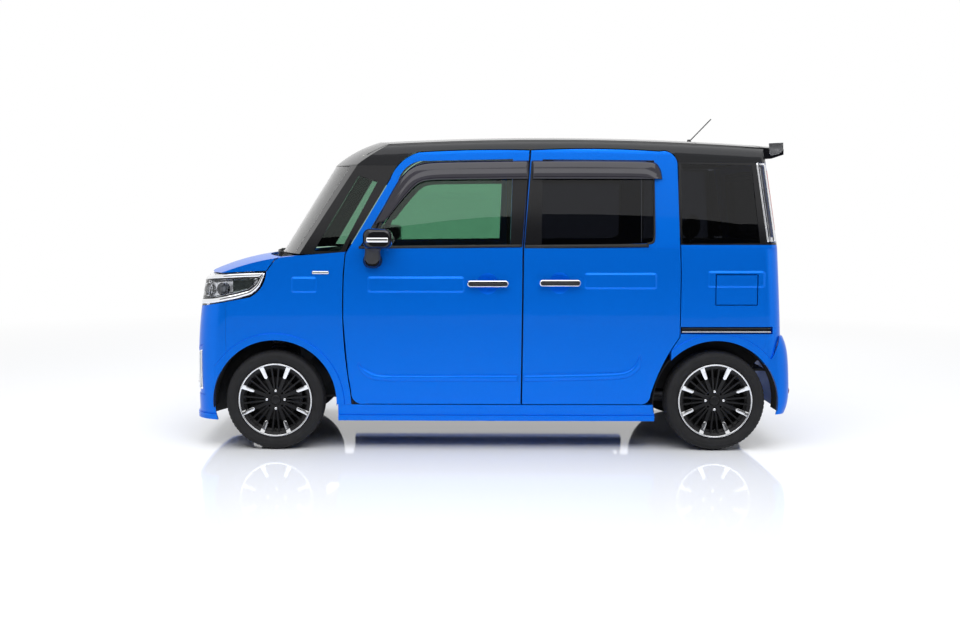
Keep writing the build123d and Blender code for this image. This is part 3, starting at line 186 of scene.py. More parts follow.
def glass(name, tint, gloss=1.0, front_tint=None):
    """Thin tinted glass: tint is what passes one face; front_tint is that ahead of the front doors."""
    mat = Shader(name)
    if front_tint:
        share = mat.spread(mat.along("X"), -0.60, -0.55, 0.0, 1.0)
        tint = mat.ramp(share, (0.45, front_tint), (0.55, tint))
    through = mat.add("BsdfTransparent", Color=tint)
    shine = mat.add("BsdfGlossy", Roughness=0.0, Color=(gloss, gloss, gloss))
    mat.mix(mat.add("Fresnel", IOR=1.52).outputs[0], through, shine)
    return mat.owner


def cloth(name, color, second):
    """Knitted seat cloth with a fine two-tone weave."""
    mat = Shader(name)
    weave = mat.cells(320.0)
    bsdf = mat.principled(mat.ramp(weave, (0.1, color), (0.6, second)), 0.9, Sheen_Weight=0.3,
                          Specular_IOR_Level=0.2)
    mat.bump(bsdf, weave, 0.5, 0.001)
    return mat.owner


BLUE_LOOKS = ((0.0, 0.130, 0.66), (0.0, 0.21, 0.92), 0.30, 0.15)
BLUE = paint("paint_blue", *BLUE_LOOKS)
GATE_PAINT = paint("paint_tailgate", *BLUE_LOOKS, roof=(1.612, (0.005, 0.0055, 0.007)))
BLACK_PAINT = paint("paint_black", (0.004, 0.0045, 0.006), (0.010, 0.011, 0.014), 0.35, 0.6)
GLOSS_BLACK = plastic("gloss_black", (0.006, 0.006, 0.007), 0.10, grain=0.01, spec=0.4)
GRAINED = plastic("grained_plastic", (0.02, 0.02, 0.021), 0.6)
LINER = plastic("liner_plastic", (0.008, 0.008, 0.008), 0.85)
CLEAR = glass("screen_glass", (0.86, 0.93, 0.90))
GREEN = glass("green_glass", (0.52, 0.70, 0.60))
PRIVACY = glass("privacy_glass", (0.26, 0.27, 0.30), gloss=0.6, front_tint=(0.58, 0.72, 0.64))
LENS = glass("lamp_lens", (0.96, 0.97, 0.99))
CHROME = metal("chrome", (0.82, 0.83, 0.85), 0.06, 0.5, 12.0, 0.0)
STEEL = metal("painted_steel", (0.06, 0.06, 0.065), 0.45)
BARE = metal("cast_metal", (0.42, 0.42, 0.43), 0.42)
TYRE = rubber("tyre_rubber", (0.011, 0.011, 0.012), 0.75)
WHEEL_BLACK = plastic("wheel_black", (0.006, 0.006, 0.007), 0.42, grain=0.03, spec=0.25)
INTERIOR = plastic("cabin_plastic", (0.035, 0.035, 0.037), 0.7)
SMOKE = plastic("smoked_guard", (0.010, 0.009, 0.016), 0.05, grain=0.0)
RUBBER_TRIM = rubber("trim_rubber", (0.012, 0.012, 0.012), 0.5)
SATIN = metal("satin_metal", (0.62, 0.63, 0.65), 0.22, 0.3, 30.0, 0.02)
MACHINED = metal("machined_face", (0.78, 0.79, 0.81), 0.16, 0.3, 60.0, 0.02)
MIRROR = metal("mirror_glass", (0.80, 0.82, 0.84), 0.02, 0.2, 10.0, 0.0)
SILVER = metal("lamp_silver", (0.80, 0.81, 0.83), 0.25, 0.3, 30.0, 0.0)
LINING = plastic("roof_lining", (0.55, 0.54, 0.51), 0.95)
FROST = plastic("frosted_lens", (0.55, 0.58, 0.62), 0.18, grain=0.0)
PRISM = metal("lamp_prisms", (0.42, 0.50, 0.46), 0.12, 0.3, 30.0, 0.0)
SMOKE_GREY = plastic("lamp_backing", (0.06, 0.065, 0.08), 0.3, grain=0.0)
EYE = plastic("lamp_eye", (0.25, 0.27, 0.30), 0.03, grain=0.0, spec=1.0)
RED = plastic("red_lens", (0.55, 0.01, 0.012), 0.08, grain=0.0)
SEAT = cloth("seat_cloth", (0.03, 0.03, 0.033), (0.075, 0.075, 0.08))

# What each material's pieces are, where their calls don't say
SLOTS = {
    "body_blue": (BLUE,),
    "trim_black": (GLOSS_BLACK, SMOKE, SMOKE_GREY, RUBBER_TRIM),
    "dark_plastic": (GRAINED, LINER),
    "lamp_lens": (FROST, PRISM, EYE, RED),
    "chrome": (CHROME, SATIN, SILVER, MIRROR, MACHINED),
    "tyre": (TYRE,),
    "wheel_black": (WHEEL_BLACK,),
    "steel": (STEEL,),
    "seat_cloth": (SEAT,),
    "interior": (INTERIOR, LINING),
}
SLOT_OF = {material: slot for slot, materials in SLOTS.items() for material in materials}

NODE_MATERIALS = {
    BLUE: ("front_door_left", "front_door_right", "door_frame_left", "door_frame_right", "slide_doors",
           "slide_frames", "rear_quarters", "front_fenders", "bonnet", "front_bumper", "rear_bumper",
           "fuel_lid", "side_sills"),
    BLACK_PAINT: ("roof_panel", "spoiler"),
    GATE_PAINT: ("tailgate",),
    GLOSS_BLACK: ("rear_frames", "screen_posts", "mirror_left", "mirror_right", "grille"),
    CLEAR: ("windscreen",),
    GREEN: ("door_glass_left", "door_glass_right"),
    PRIVACY: ("side_glass", "tailgate_glass"),
    LENS: ("head_lamps", "tail_lamps"),
    CHROME: ("handle_left", "handle_right", "slide_handles"),
    GRAINED: ("cowl", "wipers", "antenna", "fuel_tank"),
    LINER: ("arch_liners",),
    INTERIOR: ("dashboard", "steering_wheel", "floor_pan", "centre_pillars"),
    SEAT: ("front_seats", "rear_seat"),
    STEEL: ("hinge_pillars", "front_rails", "subframe", "rear_axle", "knuckle_left", "knuckle_right"),
    BARE: ("engine", "exhaust"),
}


def dress_nodes():
    """Gives each CAD node its material."""
    wheels = [f"{end}_{hand}" for end in ("front", "rear") for hand in HANDS]
    for material, prefix in ((TYRE, "tyre"), (WHEEL_BLACK, "rim")):
        NODE_MATERIALS[material] = [f"{prefix}_{wheel}" for wheel in wheels]
    for material, names in NODE_MATERIALS.items():
        for name in names:
            NODES[name].data.materials.clear()
            NODES[name].data.materials.append(material)


# ---------------------------------------------------------------- shape helpers

BEVEL_SEGMENTS = 3
BEVEL_ANGLE = 32
# Where placers start outside the car, how deep the first near miss looks, and how near it has to be
SIDE_START = -2.0
END_START = 3.0
FIRST_DEPTH = 1.2
NEAR_MISS = 0.03


def add_mesh(name, verts, faces, material, body="body", slot=None, smooth=True, thick=0.0, bevel=0.0):
    """A new piece that rides on a body; thick and bevel add solidify and bevel modifiers."""
    mesh = bpy.data.meshes.new(name)
    mesh.from_pydata([tuple(v) for v in verts], [], faces)
    mesh.validate()
    if not thick:
        tidy = bmesh.new()
        tidy.from_mesh(mesh)
        bmesh.ops.recalc_face_normals(tidy, faces=tidy.faces)
        tidy.to_mesh(mesh)
        tidy.free()
    mesh.materials.append(material)
    if smooth:
        mesh.shade_smooth()
    obj = bpy.data.objects.new(name, mesh)
    bpy.context.collection.objects.link(obj)
    if thick:
        wall = obj.modifiers.new("wall", "SOLIDIFY")
        wall.thickness, wall.offset = thick, 0.0
    if bevel:
        edge = obj.modifiers.new("edge", "BEVEL")
        edge.width, edge.segments, edge.harden_normals = bevel, BEVEL_SEGMENTS, True
        edge.limit_method, edge.angle_limit = "ANGLE", math.radians(BEVEL_ANGLE)
    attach(obj, body)
    slot or SLOT_OF[material]
    return obj


def both_sides(name, verts, faces, material, body="body", slot=None, **looks):
    """A left-hand piece and its mirror image, on the left and right bodies of that name."""
    other = [(v[0], -v[1], v[2]) for v in verts]
    bodies = [body, body] if body in ("body", "rear_gate") else [f"{body}_{hand}" for hand in HANDS]
    add_mesh(f"{name}_left", verts, faces, material, bodies[0], slot, **looks)
    add_mesh(f"{name}_right", other, [f[::-1] for f in faces], material, bodies[1], slot, **looks)


def grid_faces(rows, columns, wrap=False):
    """Faces of a grid of points stored row by row; wrap joins the last row to the first."""
    faces = []
    for i in range(rows if wrap else rows - 1):
        for j in range(columns - 1):
            a, b = i * columns + j, (i + 1) % rows * columns + j
            faces.append((a, a + 1, b + 1, b))
    return faces


def ring_faces(rings, steps):
    """Faces between closed rings of points, stored ring by ring."""
    faces = []
    for a in range(0, (rings - 1) * steps, steps):
        b = a + steps
        faces += [(a + k, a + (k + 1) % steps, b + (k + 1) % steps, b + k) for k in range(steps)]
    return faces


def turn_at(k, steps):
    """Cosine and sine after k of so many steps round a circle."""
    turn = 2 * math.pi * k / steps
    return math.cos(turn), math.sin(turn)


def squared(value, power):
    """A cosine or sine raised to a power with its sign kept, which squares a circle off."""
    return math.copysign(abs(value) ** power, value)


def bar(low, high, head, foot):
    """The two edges of a straight strip from low to high, between two heights."""
    return [(low, head), (high, head)], [(low, foot), (high, foot)]


def joined(*parts):
    """Several (verts, faces) pairs as one."""
    verts, faces = [], []
    for some, some_faces in parts:
        start = len(verts)
        verts += list(some)
        faces += [tuple(start + i for i in face) for face in some_faces]
    return verts, faces


def box(low, high):
    """Corners and faces of a box."""
    verts = [(x, y, z) for x in (low[0], high[0]) for y in (low[1], high[1]) for z in (low[2], high[2])]
    return verts, [(0, 1, 3, 2), (4, 6, 7, 5), (0, 4, 5, 1), (2, 3, 7, 6), (0, 2, 6, 4), (1, 5, 7, 3)]


def resample(points, count):
    """Evenly spaced points along a polyline of any dimension."""
    points = [Vector(p) for p in points]
    lengths = [0.0]
    for a, b in zip(points, points[1:]):
        lengths.append(lengths[-1] + (b - a).length)
    made, k = [], 0
    for i in range(count):
        want = lengths[-1] * i / (count - 1)
        while k < len(points) - 2 and lengths[k + 1] < want:
            k += 1
        share = (want - lengths[k]) / max(1e-9, lengths[k + 1] - lengths[k])
        made.append(points[k].lerp(points[k + 1], min(1.0, share)))
    return made


def smooth_path(points, rounds=2):
    """A polyline with its corners cut, its ends kept."""
    points = [Vector(p) for p in points]
    for _ in range(rounds):
        cut = [points[0]]
        for a, b in zip(points, points[1:]):
            cut += [a.lerp(b, 0.25), a.lerp(b, 0.75)]
        points = cut + [points[-1]]
    return points


def tube(points, radius, sides=10):
    """A round tube along points; radius may be a number or one for each point."""
    points = [Vector(p) for p in points]
    count = len(points)
    radii = radius if isinstance(radius, (list, tuple)) else [radius] * count
    verts = []
    for i, point in enumerate(points):
        along = (points[min(i + 1, count - 1)] - points[max(i - 1, 0)]).normalized()
        side = along.cross(UP)
        side = side.normalized() if side.length > 1e-4 else REARWARD
        over = side.cross(along)
        for k in range(sides):
            c, s = turn_at(k, sides)
            verts.append(point + (side * c + over * s) * radii[i])
    faces = ring_faces(count, sides)
    faces.append(tuple(range(sides))[::-1])
    faces.append(tuple(range((count - 1) * sides, count * sides)))
    return verts, faces


def ribbon(edge_a, edge_b, lifts, place, count=48):
    """A strip between two outlines; lifts are its heights across, and place(point, lift) sets its points."""
    a, b = resample(edge_a, count), resample(edge_b, count)
    verts = []
    for p, q in zip(a, b):
        for k, lift in enumerate(lifts):
            verts.append(place(p.lerp(q, k / (len(lifts) - 1)), lift))
    return verts, grid_faces(count, len(lifts))


def strips(name, edges, lifts, place, count, material, body="body", thick=0.0015, **looks):
    """A thin strip between two outlines on the left side, and its mirror image."""
    both_sides(name, *ribbon(*edges, lifts, place, count), material, body, thick=thick, **looks)


def spin(profile, foot, up, across, over, steps):
    """A surface turned about an axis through foot. Profile rows: radius, height along the axis."""
    verts = []
    for i in range(steps):
        c, s = turn_at(i, steps)
        verts += [foot + up * h + (across * c + over * s) * r for r, h in profile]
    return verts, grid_faces(steps, len(profile), wrap=True)


def axes_round(up, aside):
    """Two directions square to an axis and to each other."""
    across = up.cross(aside).normalized()
    return across, up.cross(across)


def lathe(profile, steps, centre=(0, 0, 0)):
    """A surface turned about an axis along Y. Profile rows: radius, y."""
    return spin(profile, Vector(centre), RIGHTWARD, REARWARD, UP, steps)


def lathe_up(profile, foot, up, steps=40):
    """A surface turned about an axis from foot along up. Profile rows: radius, height."""
    return spin(profile, foot, up, *axes_round(up, REARWARD), steps)


def surface(*names):
    """A search tree over CAD nodes as they stand at rest."""
    verts, faces = [], []
    for name in names:
        mesh, start = NODES[name].data, len(verts)
        verts += [v.co.copy() for v in mesh.vertices]
        faces += [[start + i for i in poly.vertices] for poly in mesh.polygons]
    return BVHTree.FromPolygons(verts, faces)


def settle(tree, start, way, lift, last):
    """The first point of a tree met from start along way, lifted; a near miss takes the nearest point."""
    hit, normal, _, _ = tree.ray_cast(start, way)
    if hit is None:
        depth = (last[0] - start).dot(way) if last else FIRST_DEPTH
        hit, normal, _, gap = tree.find_nearest(start + way * depth)
        if gap > NEAR_MISS:
            raise ValueError(f"nothing under {tuple(start)}")
    last[:] = [hit]
    return hit + normal * (lift if normal.dot(way) < 0 else -lift)


def across_car(tree, way, start_y):
    """A placer that drops an (x, z) point on a tree along Y, from start_y."""
    last = []
    return lambda spot, lift: settle(tree, Vector((spot[0], start_y, spot[1])), way, lift, last)


def along_car(tree, way, start_x):
    """A placer that drops a (y, z) point on a tree along X, from start_x."""
    last = []
    return lambda spot, lift: settle(tree, Vector((start_x, spot[0], spot[1])), way, lift, last)


def on_side(tree):
    """A placer on the car's left side."""
    return across_car(tree, RIGHTWARD, SIDE_START)


def on_front(tree, way=1.0):
    """A placer on the nose (way 1) or the tail (way -1)."""
    return along_car(tree, REARWARD * way, -END_START * way)


def cabin_side(point, lift):
    """A placer on the plane-like side above the belt, worked out from the cabin's three sections."""
    x, z = point
    t = (x - CABIN_MID_X) / CABIN_STEP_X
    belt, rail, crown = [a + b * t + c * t * t for a, b, c in (BELT_TERMS, RAIL_TERMS, CROWN_TERMS)]
    lean = (belt - rail) / (crown - RAIL_DROP - BELT_Z)
    return Vector((x, -(belt - lean * (z - BELT_Z)) - lift, z + lift * lean))


# ---------------------------------------------------------------- side trim

# Cabin side at x = CABIN_MID_X + t CABIN_STEP_X: constant, linear and square terms in t
CABIN_MID_X = 0.300
CABIN_STEP_X = 1.650
BELT_TERMS = (0.719, -0.006, -0.019)
RAIL_TERMS = (0.653, -0.003, -0.022)
CROWN_TERMS = (1.768, 0.0, -0.079)
RAIL_DROP = 0.042
BELT_Z = 1.132

# Heights across a strip
ROUND_LIFTS = (0.0005, 0.003, 0.0035, 0.003, 0.0005)
FLAT_LIFTS = (0.0005, 0.003, 0.003, 0.0005)
THIN_LIFTS = (0.0005, 0.003, 0.0005)
# Smoked rain guards. Columns: x, z along the upper and the lower edge
FRONT_VISOR = (
    ((-0.648, 1.262), (-0.533, 1.482), (-0.482, 1.548), (-0.425, 1.590), (-0.350, 1.606), (-0.2, 1.610),
     (0.203, 1.615)),
    ((-0.590, 1.276), (-0.500, 1.392), (-0.425, 1.474), (-0.385, 1.498), (-0.330, 1.506), (-0.2, 1.508),
     (0.203, 1.512)),
)
REAR_VISOR = (
    ((0.228, 1.615), (0.550, 1.616), (0.880, 1.612), (0.915, 1.600), (0.938, 1.560), (0.944, 1.512)),
    ((0.228, 1.512), (0.550, 1.512), (0.840, 1.511), (0.885, 1.511), (0.905, 1.511), (0.918, 1.511)),
)
VISOR_LIFTS = (0.001, 0.007, 0.012, 0.0125, 0.017, 0.0205, 0.022, 0.0225)
# Black cover of the pillar between the doors. Columns: x at the foot, x at the head
FRONT_PILLAR_COVER = ((0.104, 0.120), (0.171, 0.2065))
REAR_PILLAR_COVER = ((0.183, 0.2215), (0.277, 0.283))
COVER_Z = (1.143, 1.613)
COVER_LIFT = 0.0015


def make_visors():
    for name, rows, body in (("visor", FRONT_VISOR, "door"), ("slide_visor", REAR_VISOR, "body")):
        edges = [smooth_path(row, 2) for row in rows]
        strips(name, edges, VISOR_LIFTS, cabin_side, 60, SMOKE, body, 0.0025)


def make_pillar_covers():
    for name, cover, body in (("pillar_cover", FRONT_PILLAR_COVER, "door"),
                              ("slide_pillar_cover", REAR_PILLAR_COVER, "body")):
        edges = [list(zip(ends, COVER_Z)) for ends in cover]
        strips(name, edges, [COVER_LIFT] * 3, cabin_side, 12, GLOSS_BLACK, body, 0.0022, smooth=False)


# Columns: name, body, x from and to, z of the lower and upper edge, rise towards the rear
BELTS = (
    ("belt", "door", -0.735, 0.168, 1.127, 1.143, 0.010),
    ("slide_belt", "body", 0.184, 0.868, 1.131, 1.150, 0.006),
)


def make_belt_mouldings():
    """The black strips along the foot of the side windows."""
    for name, body, x0, x1, z0, z1, rise in BELTS:
        edges = [[(x0, z), (x1, z + rise)] for z in (z1, z0)]
        strips(name, edges, (0.001, 0.006, 0.008, 0.006, 0.001), cabin_side, 40, RUBBER_TRIM, body, 0.002)


# Columns: x, z along the outer and the inner edge
SLIDE_SEAL = (
    ((0.862, 1.152), (0.900, 1.157), (0.907, 1.195), (0.905, 1.300), (0.902, 1.515)),
    ((0.858, 1.162), (0.890, 1.166), (0.897, 1.198), (0.896, 1.300), (0.893, 1.515)),
)
CORNER_PANEL = (
    ((-0.722, 1.145), (-0.668, 1.236), (-0.560, 1.420), (-0.500, 1.510)),
    ((-0.640, 1.145), (-0.628, 1.236), (-0.540, 1.400), (-0.480, 1.495)),
)


def make_window_seals():
    """The rubber at the rear of the sliding door's window and the panel in the front door's corner."""
    seal = [smooth_path(row, 2) for row in SLIDE_SEAL]
    strips("slide_seal", seal, (0.001, 0.004, 0.001), cabin_side, 40, RUBBER_TRIM)
    panel = [smooth_path(row, 1) for row in CORNER_PANEL]
    strips("corner_panel", panel, (0.001, 0.0025, 0.001), cabin_side, 24, GLOSS_BLACK, "door")


def make_handle_inlays():
    """The dark strip let into each chrome door handle."""
    tree = surface("handle_left", "slide_handles")
    for name, body, x, z in (("handle_inlay", "door", -0.020, 0.937),
                             ("slide_handle_inlay", "body", 0.378, 0.941)):
        edges = bar(x - 0.085, x + 0.085, z + 0.0028, z - 0.0028)
        strips(name, edges, (0.0008, 0.0012, 0.0008), on_side(tree), 20, GLOSS_BLACK, body, 0.001)


def make_fender_badge():
    """A blank bright plate on the fender."""
    place = on_side(surface("front_fenders"))
    lifts = (0.001, 0.004, 0.0045, 0.0045, 0.004, 0.001)
    strips("fender_plate", bar(-0.994, -0.902, 1.006, 0.987), lifts, place, 16, SATIN, thick=0.0012)


def make_rail_slots():
    """The runner inside the sliding door's rail slot."""
    for name, z0, z1, y in (("slide_runner", 0.664, 0.672, -0.716),
                            ("slide_runner_top", 0.684, 0.690, -0.713)):
        verts, faces = box((1.060, y, z0), (1.552, y + 0.012, z1))
        both_sides(name, verts, faces, SATIN if name == "slide_runner" else GRAINED, "body", "bare_steel",
                   bevel=0.0015)
    place = on_side(surface("rear_quarters"))
    strips("slot_floor", bar(1.054, 1.556, 0.6945, 0.6585), (0.001, 0.001), place, 30, LINER, thick=0.001)


# ---------------------------------------------------------------- wheels

NUT_CIRCLE = 0.050
SPOKE_COUNT = 8
SPOKE_INNER_R = 0.128
SPOKE_OUTER_R = 0.1985
# Turned sections. Columns: radius, place along the axle from the wheel's middle, outward negative
RIM_EDGE = ((0.2066, -0.0705), (0.2066, -0.0712), (0.2040, -0.0716), (0.1995, -0.0712), (0.1985, -0.0700))
RIM_BEVEL = ((0.1984, -0.0700), (0.1965, -0.0688), (0.1945, -0.0655), (0.1935, -0.0640))
NUT = ((0.0, -0.0545), (0.0055, -0.0540), (0.0085, -0.0515), (0.0092, -0.0465), (0.0092, -0.044))
NUT_WASHER = ((0.0112, -0.0468), (0.0112, -0.0455))
WHEEL_CAP = ((0.0, -0.0545), (0.018, -0.0538), (0.0255, -0.0518), (0.0272, -0.0488), (0.0272, -0.044))
CAP_RING = ((0.0285, -0.0466), (0.0290, -0.0482), (0.0305, -0.0482), (0.0310, -0.0466))
BOLT_SEAT = ((0.0118, -0.0458), (0.0124, -0.0474), (0.0140, -0.0474), (0.0146, -0.0458))
DUST_SHIELD = ((0.034, 0.060), (0.090, 0.060), (0.096, 0.064), (0.104, 0.064), (0.110, 0.060), (0.160, 0.060),
               (0.168, 0.055), (0.170, 0.048))
VALVE = ((0.0, -0.050, -0.176), (0.0, -0.062, -0.166), (0.0, -0.070, -0.160))


def dish_height(r):
    """How far the spokes' faces lie outside the wheel's middle plane, at a radius."""
    start, via, end = Vector((0.060, 0.046)), Vector((0.130, 0.056)), Vector((0.185, 0.064))
    t = min(1.0, max(0.0, (r - start.x) / (end.x - start.x)))
    middle = 2 * via - (start + end) / 2
    return ((1 - t) ** 2 * start + 2 * t * (1 - t) * middle + t * t * end).y


def each_wheel():
    """End, hand, axle's x and side of each wheel."""
    for end, x in (("front", FRONT_AXLE_X), ("rear", REAR_AXLE_X)):
        for hand, side in zip(HANDS, (-1, 1)):
            yield end, hand, x, side


def spoke_face(turn):
    """The machined outer half of one broad spoke, rounded at its inner end and widening to the rim."""
    verts, columns, rows = [], 9, 18
    for i in range(rows):
        share = i / (rows - 1)
        r = SPOKE_INNER_R + (SPOKE_OUTER_R - SPOKE_INNER_R) * share
        half = (0.0090 + 0.0036 * share) * min(1.0, math.sqrt((share + 0.004) / 0.10))
        rise = dish_height(r) + 0.0010 + 0.0065 * max(0.0, share - 0.75) / 0.25
        for j in range(columns):
            v = half * (2 * j / (columns - 1) - 1)
            y = rise + 0.0012 * (1 - (v / half) ** 2)
            verts.append((r * math.cos(turn) - v * math.sin(turn), -y,
                          r * math.sin(turn) + v * math.cos(turn)))
    return verts, grid_faces(rows, columns)


def place_wheel(verts, x, side):
    """Verts drawn for a left wheel about its own middle, set on one axle end."""
    return [(v[0] + x, side * (HALF_TRACK - v[1]), v[2] + TYRE_R) for v in verts]


def wheel_parts():
    """The added pieces of one left wheel: name, geometry, material and slot."""
    middles = [math.radians(22.5 + 45 * k) for k in range(SPOKE_COUNT)]
    bolts = [(NUT_CIRCLE * math.cos(turn), 0.0, NUT_CIRCLE * math.sin(turn))
             for turn in [math.radians(90 * k) for k in range(4)]]
    nuts = [lathe(profile, steps, bolt) for bolt in bolts for profile, steps in ((NUT, 6), (NUT_WASHER, 24))]
    cap = [lathe(WHEEL_CAP, 48), lathe(CAP_RING, 48)] + [lathe(BOLT_SEAT, 32, bolt) for bolt in bolts]
    return (
        ("rim_lip", lathe(RIM_EDGE, 160), MACHINED, None),
        ("rim_bevel", lathe(RIM_BEVEL, 160), WHEEL_BLACK, None),
        ("spoke_faces", joined(*[spoke_face(mid) for mid in middles]), MACHINED, None),
        ("wheel_nuts", joined(*nuts), CHROME, None),
        ("wheel_cap", joined(*cap), WHEEL_BLACK, None),
        ("valve", tube(VALVE, 0.0035, 8), RUBBER_TRIM, "dark_plastic"),
    )


# Half of a tyre's section. Columns: radius, distance from its middle plane
TYRE_PROFILE = (
    (0.1905, 0.0500), (0.1905, 0.0625), (0.2000, 0.0636), (0.2080, 0.0640), (0.2110, 0.0668),
    (0.2140, 0.0705), (0.2165, 0.0718), (0.2190, 0.0716), (0.2215, 0.0745), (0.2300, 0.0790),
    (0.2400, 0.0816), (0.2480, 0.0818), (0.2492, 0.0824), (0.2504, 0.0822), (0.2560, 0.0806),
    (0.2630, 0.0768), (0.2690, 0.0712), (0.2725, 0.0660), (0.2742, 0.0620), (0.2752, 0.0560),
    (0.2710, 0.0545), (0.2710, 0.0485), (0.2768, 0.0470), (0.2780, 0.0330), (0.2788, 0.0225),
    (0.2735, 0.0210), (0.2735, 0.0145), (0.2796, 0.0130), (0.2799, 0.0),
)
TREAD_STEPS = 288
SIPE_EVERY = 4


def tyre_mesh():
    """A tyre with a ribbed sidewall, four grooves round it and a cross-cut between its blocks."""
    half = [(r, -w) for r, w in TYRE_PROFILE]
    profile = half + [(r, w) for r, w in TYRE_PROFILE[-2::-1]]
    verts = []
    for i in range(TREAD_STEPS):
        turn = 2 * math.pi * i / TREAD_STEPS
        for r, y in profile:
            cut = 0.0
            if r > 0.2715 and abs(y) > 0.0300 and i % SIPE_EVERY == 0:
                cut = 0.0035 if r > 0.2735 else 0.0015
            verts.append(((r - cut) * math.cos(turn), y, (r - cut) * math.sin(turn)))
    return verts, grid_faces(TREAD_STEPS, len(profile), wrap=True)


ARCH_Z = 0.275
# Two rims of each wall in an arch. Columns: radius, y
SKIRT = ((0.3465, -0.722), (0.3465, -0.575))
WELL = ((0.200, -0.392), (0.415, -0.392))


def arch_strip(name, x, span, rims, count):
    """A thin dark wall round an arch's middle, over a span of degrees; rims are its two radii and y's."""
    first, last = span
    verts = []
    for i in range(count):
        turn = math.radians(first + (last - first) * i / (count - 1))
        for radius, y in rims:
            verts.append((x + radius * math.cos(turn), y, ARCH_Z + radius * math.sin(turn)))
    both_sides(name, verts, grid_faces(count, 2), LINER, thick=0.0015)


def make_arch_skirts():
    """Dark liners inside the wheel openings, down to the bumpers and sills."""
    for end, x, span in (("front", FRONT_AXLE_X, (-4, 186)), ("rear", REAR_AXLE_X, (-8, 190))):
        arch_strip(f"{end}_skirt", x, span, SKIRT, 73)


def make_well_walls():
    """The inner wall ahead of each front wheel, which closes the arch towards the bumper."""
    arch_strip("well_wall", FRONT_AXLE_X, (100, 196), WELL, 41)


def make_dust_shields():
    """The dark shield behind each brake disc, with a pressed rib."""
    verts, faces = lathe(DUST_SHIELD, 72)
    for end, hand, x, side in each_wheel():
        body = f"steer_{hand}" if end == "front" else "body"
        add_mesh(f"dust_shield_{end}_{hand}", place_wheel(verts, x, side), faces, LINER, body, "steel",
                 thick=0.0012)


def make_wheels():
    """Rim faces, nuts, caps, valves and tyres."""
    parts = wheel_parts()
    tread, tread_faces = tyre_mesh()
    for end, hand, x, side in each_wheel():
        body = f"wheel_{end}_{hand}"
        for name, (verts, faces), material, slot in parts:
            add_mesh(f"{name}_{end}_{hand}", place_wheel(verts, x, side), faces, material, body, slot)
        tyre = add_mesh(f"tread_{end}_{hand}", place_wheel(tread, x, side), tread_faces, TYRE, body)
        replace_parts(tyre, f"tyre_{end}_{hand}")


# ---------------------------------------------------------------- lamps


def round_corner(tree, x_split, way):
    """A placer on an unrolled outline: x along the side to x_split, then round the nose (way 1) or tail."""
    side = on_side(tree)
    end = on_front(tree, way)

    def place(point, lift):
        u, z = point
        past = (x_split - u) * way
        if past <= 0:
            return side((u, z), lift)
        corner = side((x_split, z), 0.0)
        return end((corner.y + past, z), lift)

    return place


def turned(profile, place, point, steps=32):
    """A round piece standing on a surface at a point. Profile rows: radius, height along the normal."""
    foot = place(point, 0.0)
    up = (place(point, 0.01) - foot).normalized()
    return spin(profile, foot, up, *axes_round(up, UP), steps)


HEAD_SPLIT_X = -1.560
# Unrolled outlines of the headlamp: x along the side, then on round the nose
LAMP_TOP = ((-1.262, 0.995), (-1.400, 0.991), (-1.545, 0.983), (-1.700, 0.972), (-1.830, 0.962))
LAMP_TOP_INNER = ((-1.292, 0.972), (-1.400, 0.969), (-1.545, 0.960), (-1.700, 0.949), (-1.830, 0.940))
LAMP_FOOT = ((-1.256, 0.993), (-1.270, 0.957), (-1.292, 0.908), (-1.350, 0.863), (-1.620, 0.812),
             (-1.830, 0.810))
LAMP_FOOT_INNER = ((-1.272, 0.988), (-1.286, 0.961), (-1.308, 0.922), (-1.362, 0.887), (-1.620, 0.838),
                   (-1.830, 0.836))
# Ribbed prisms behind the lens, on the unrolled outline
PRISM_TOP = ((-1.318, 0.960), (-1.440, 0.957))
PRISM_FOOT = ((-1.346, 0.905), (-1.440, 0.885))
PRISM_RIBS = 9
LAMP_SHELF = ((-1.318, 0.930), (-1.360, 0.902), (-1.600, 0.856), (-1.830, 0.850))
LAMP_SHELF_LOW = ((-1.330, 0.918), (-1.372, 0.888), (-1.600, 0.842), (-1.830, 0.838))
LAMP_EYES = (-1.500, -1.610, -1.740)
LAMP_CUP = ((0.033, -0.008), (0.036, -0.010), (0.031, -0.026), (0.024, -0.032))
LAMP_EYE = ((0.0, -0.010), (0.010, -0.0112), (0.018, -0.016), (0.0225, -0.024), (0.0235, -0.031))


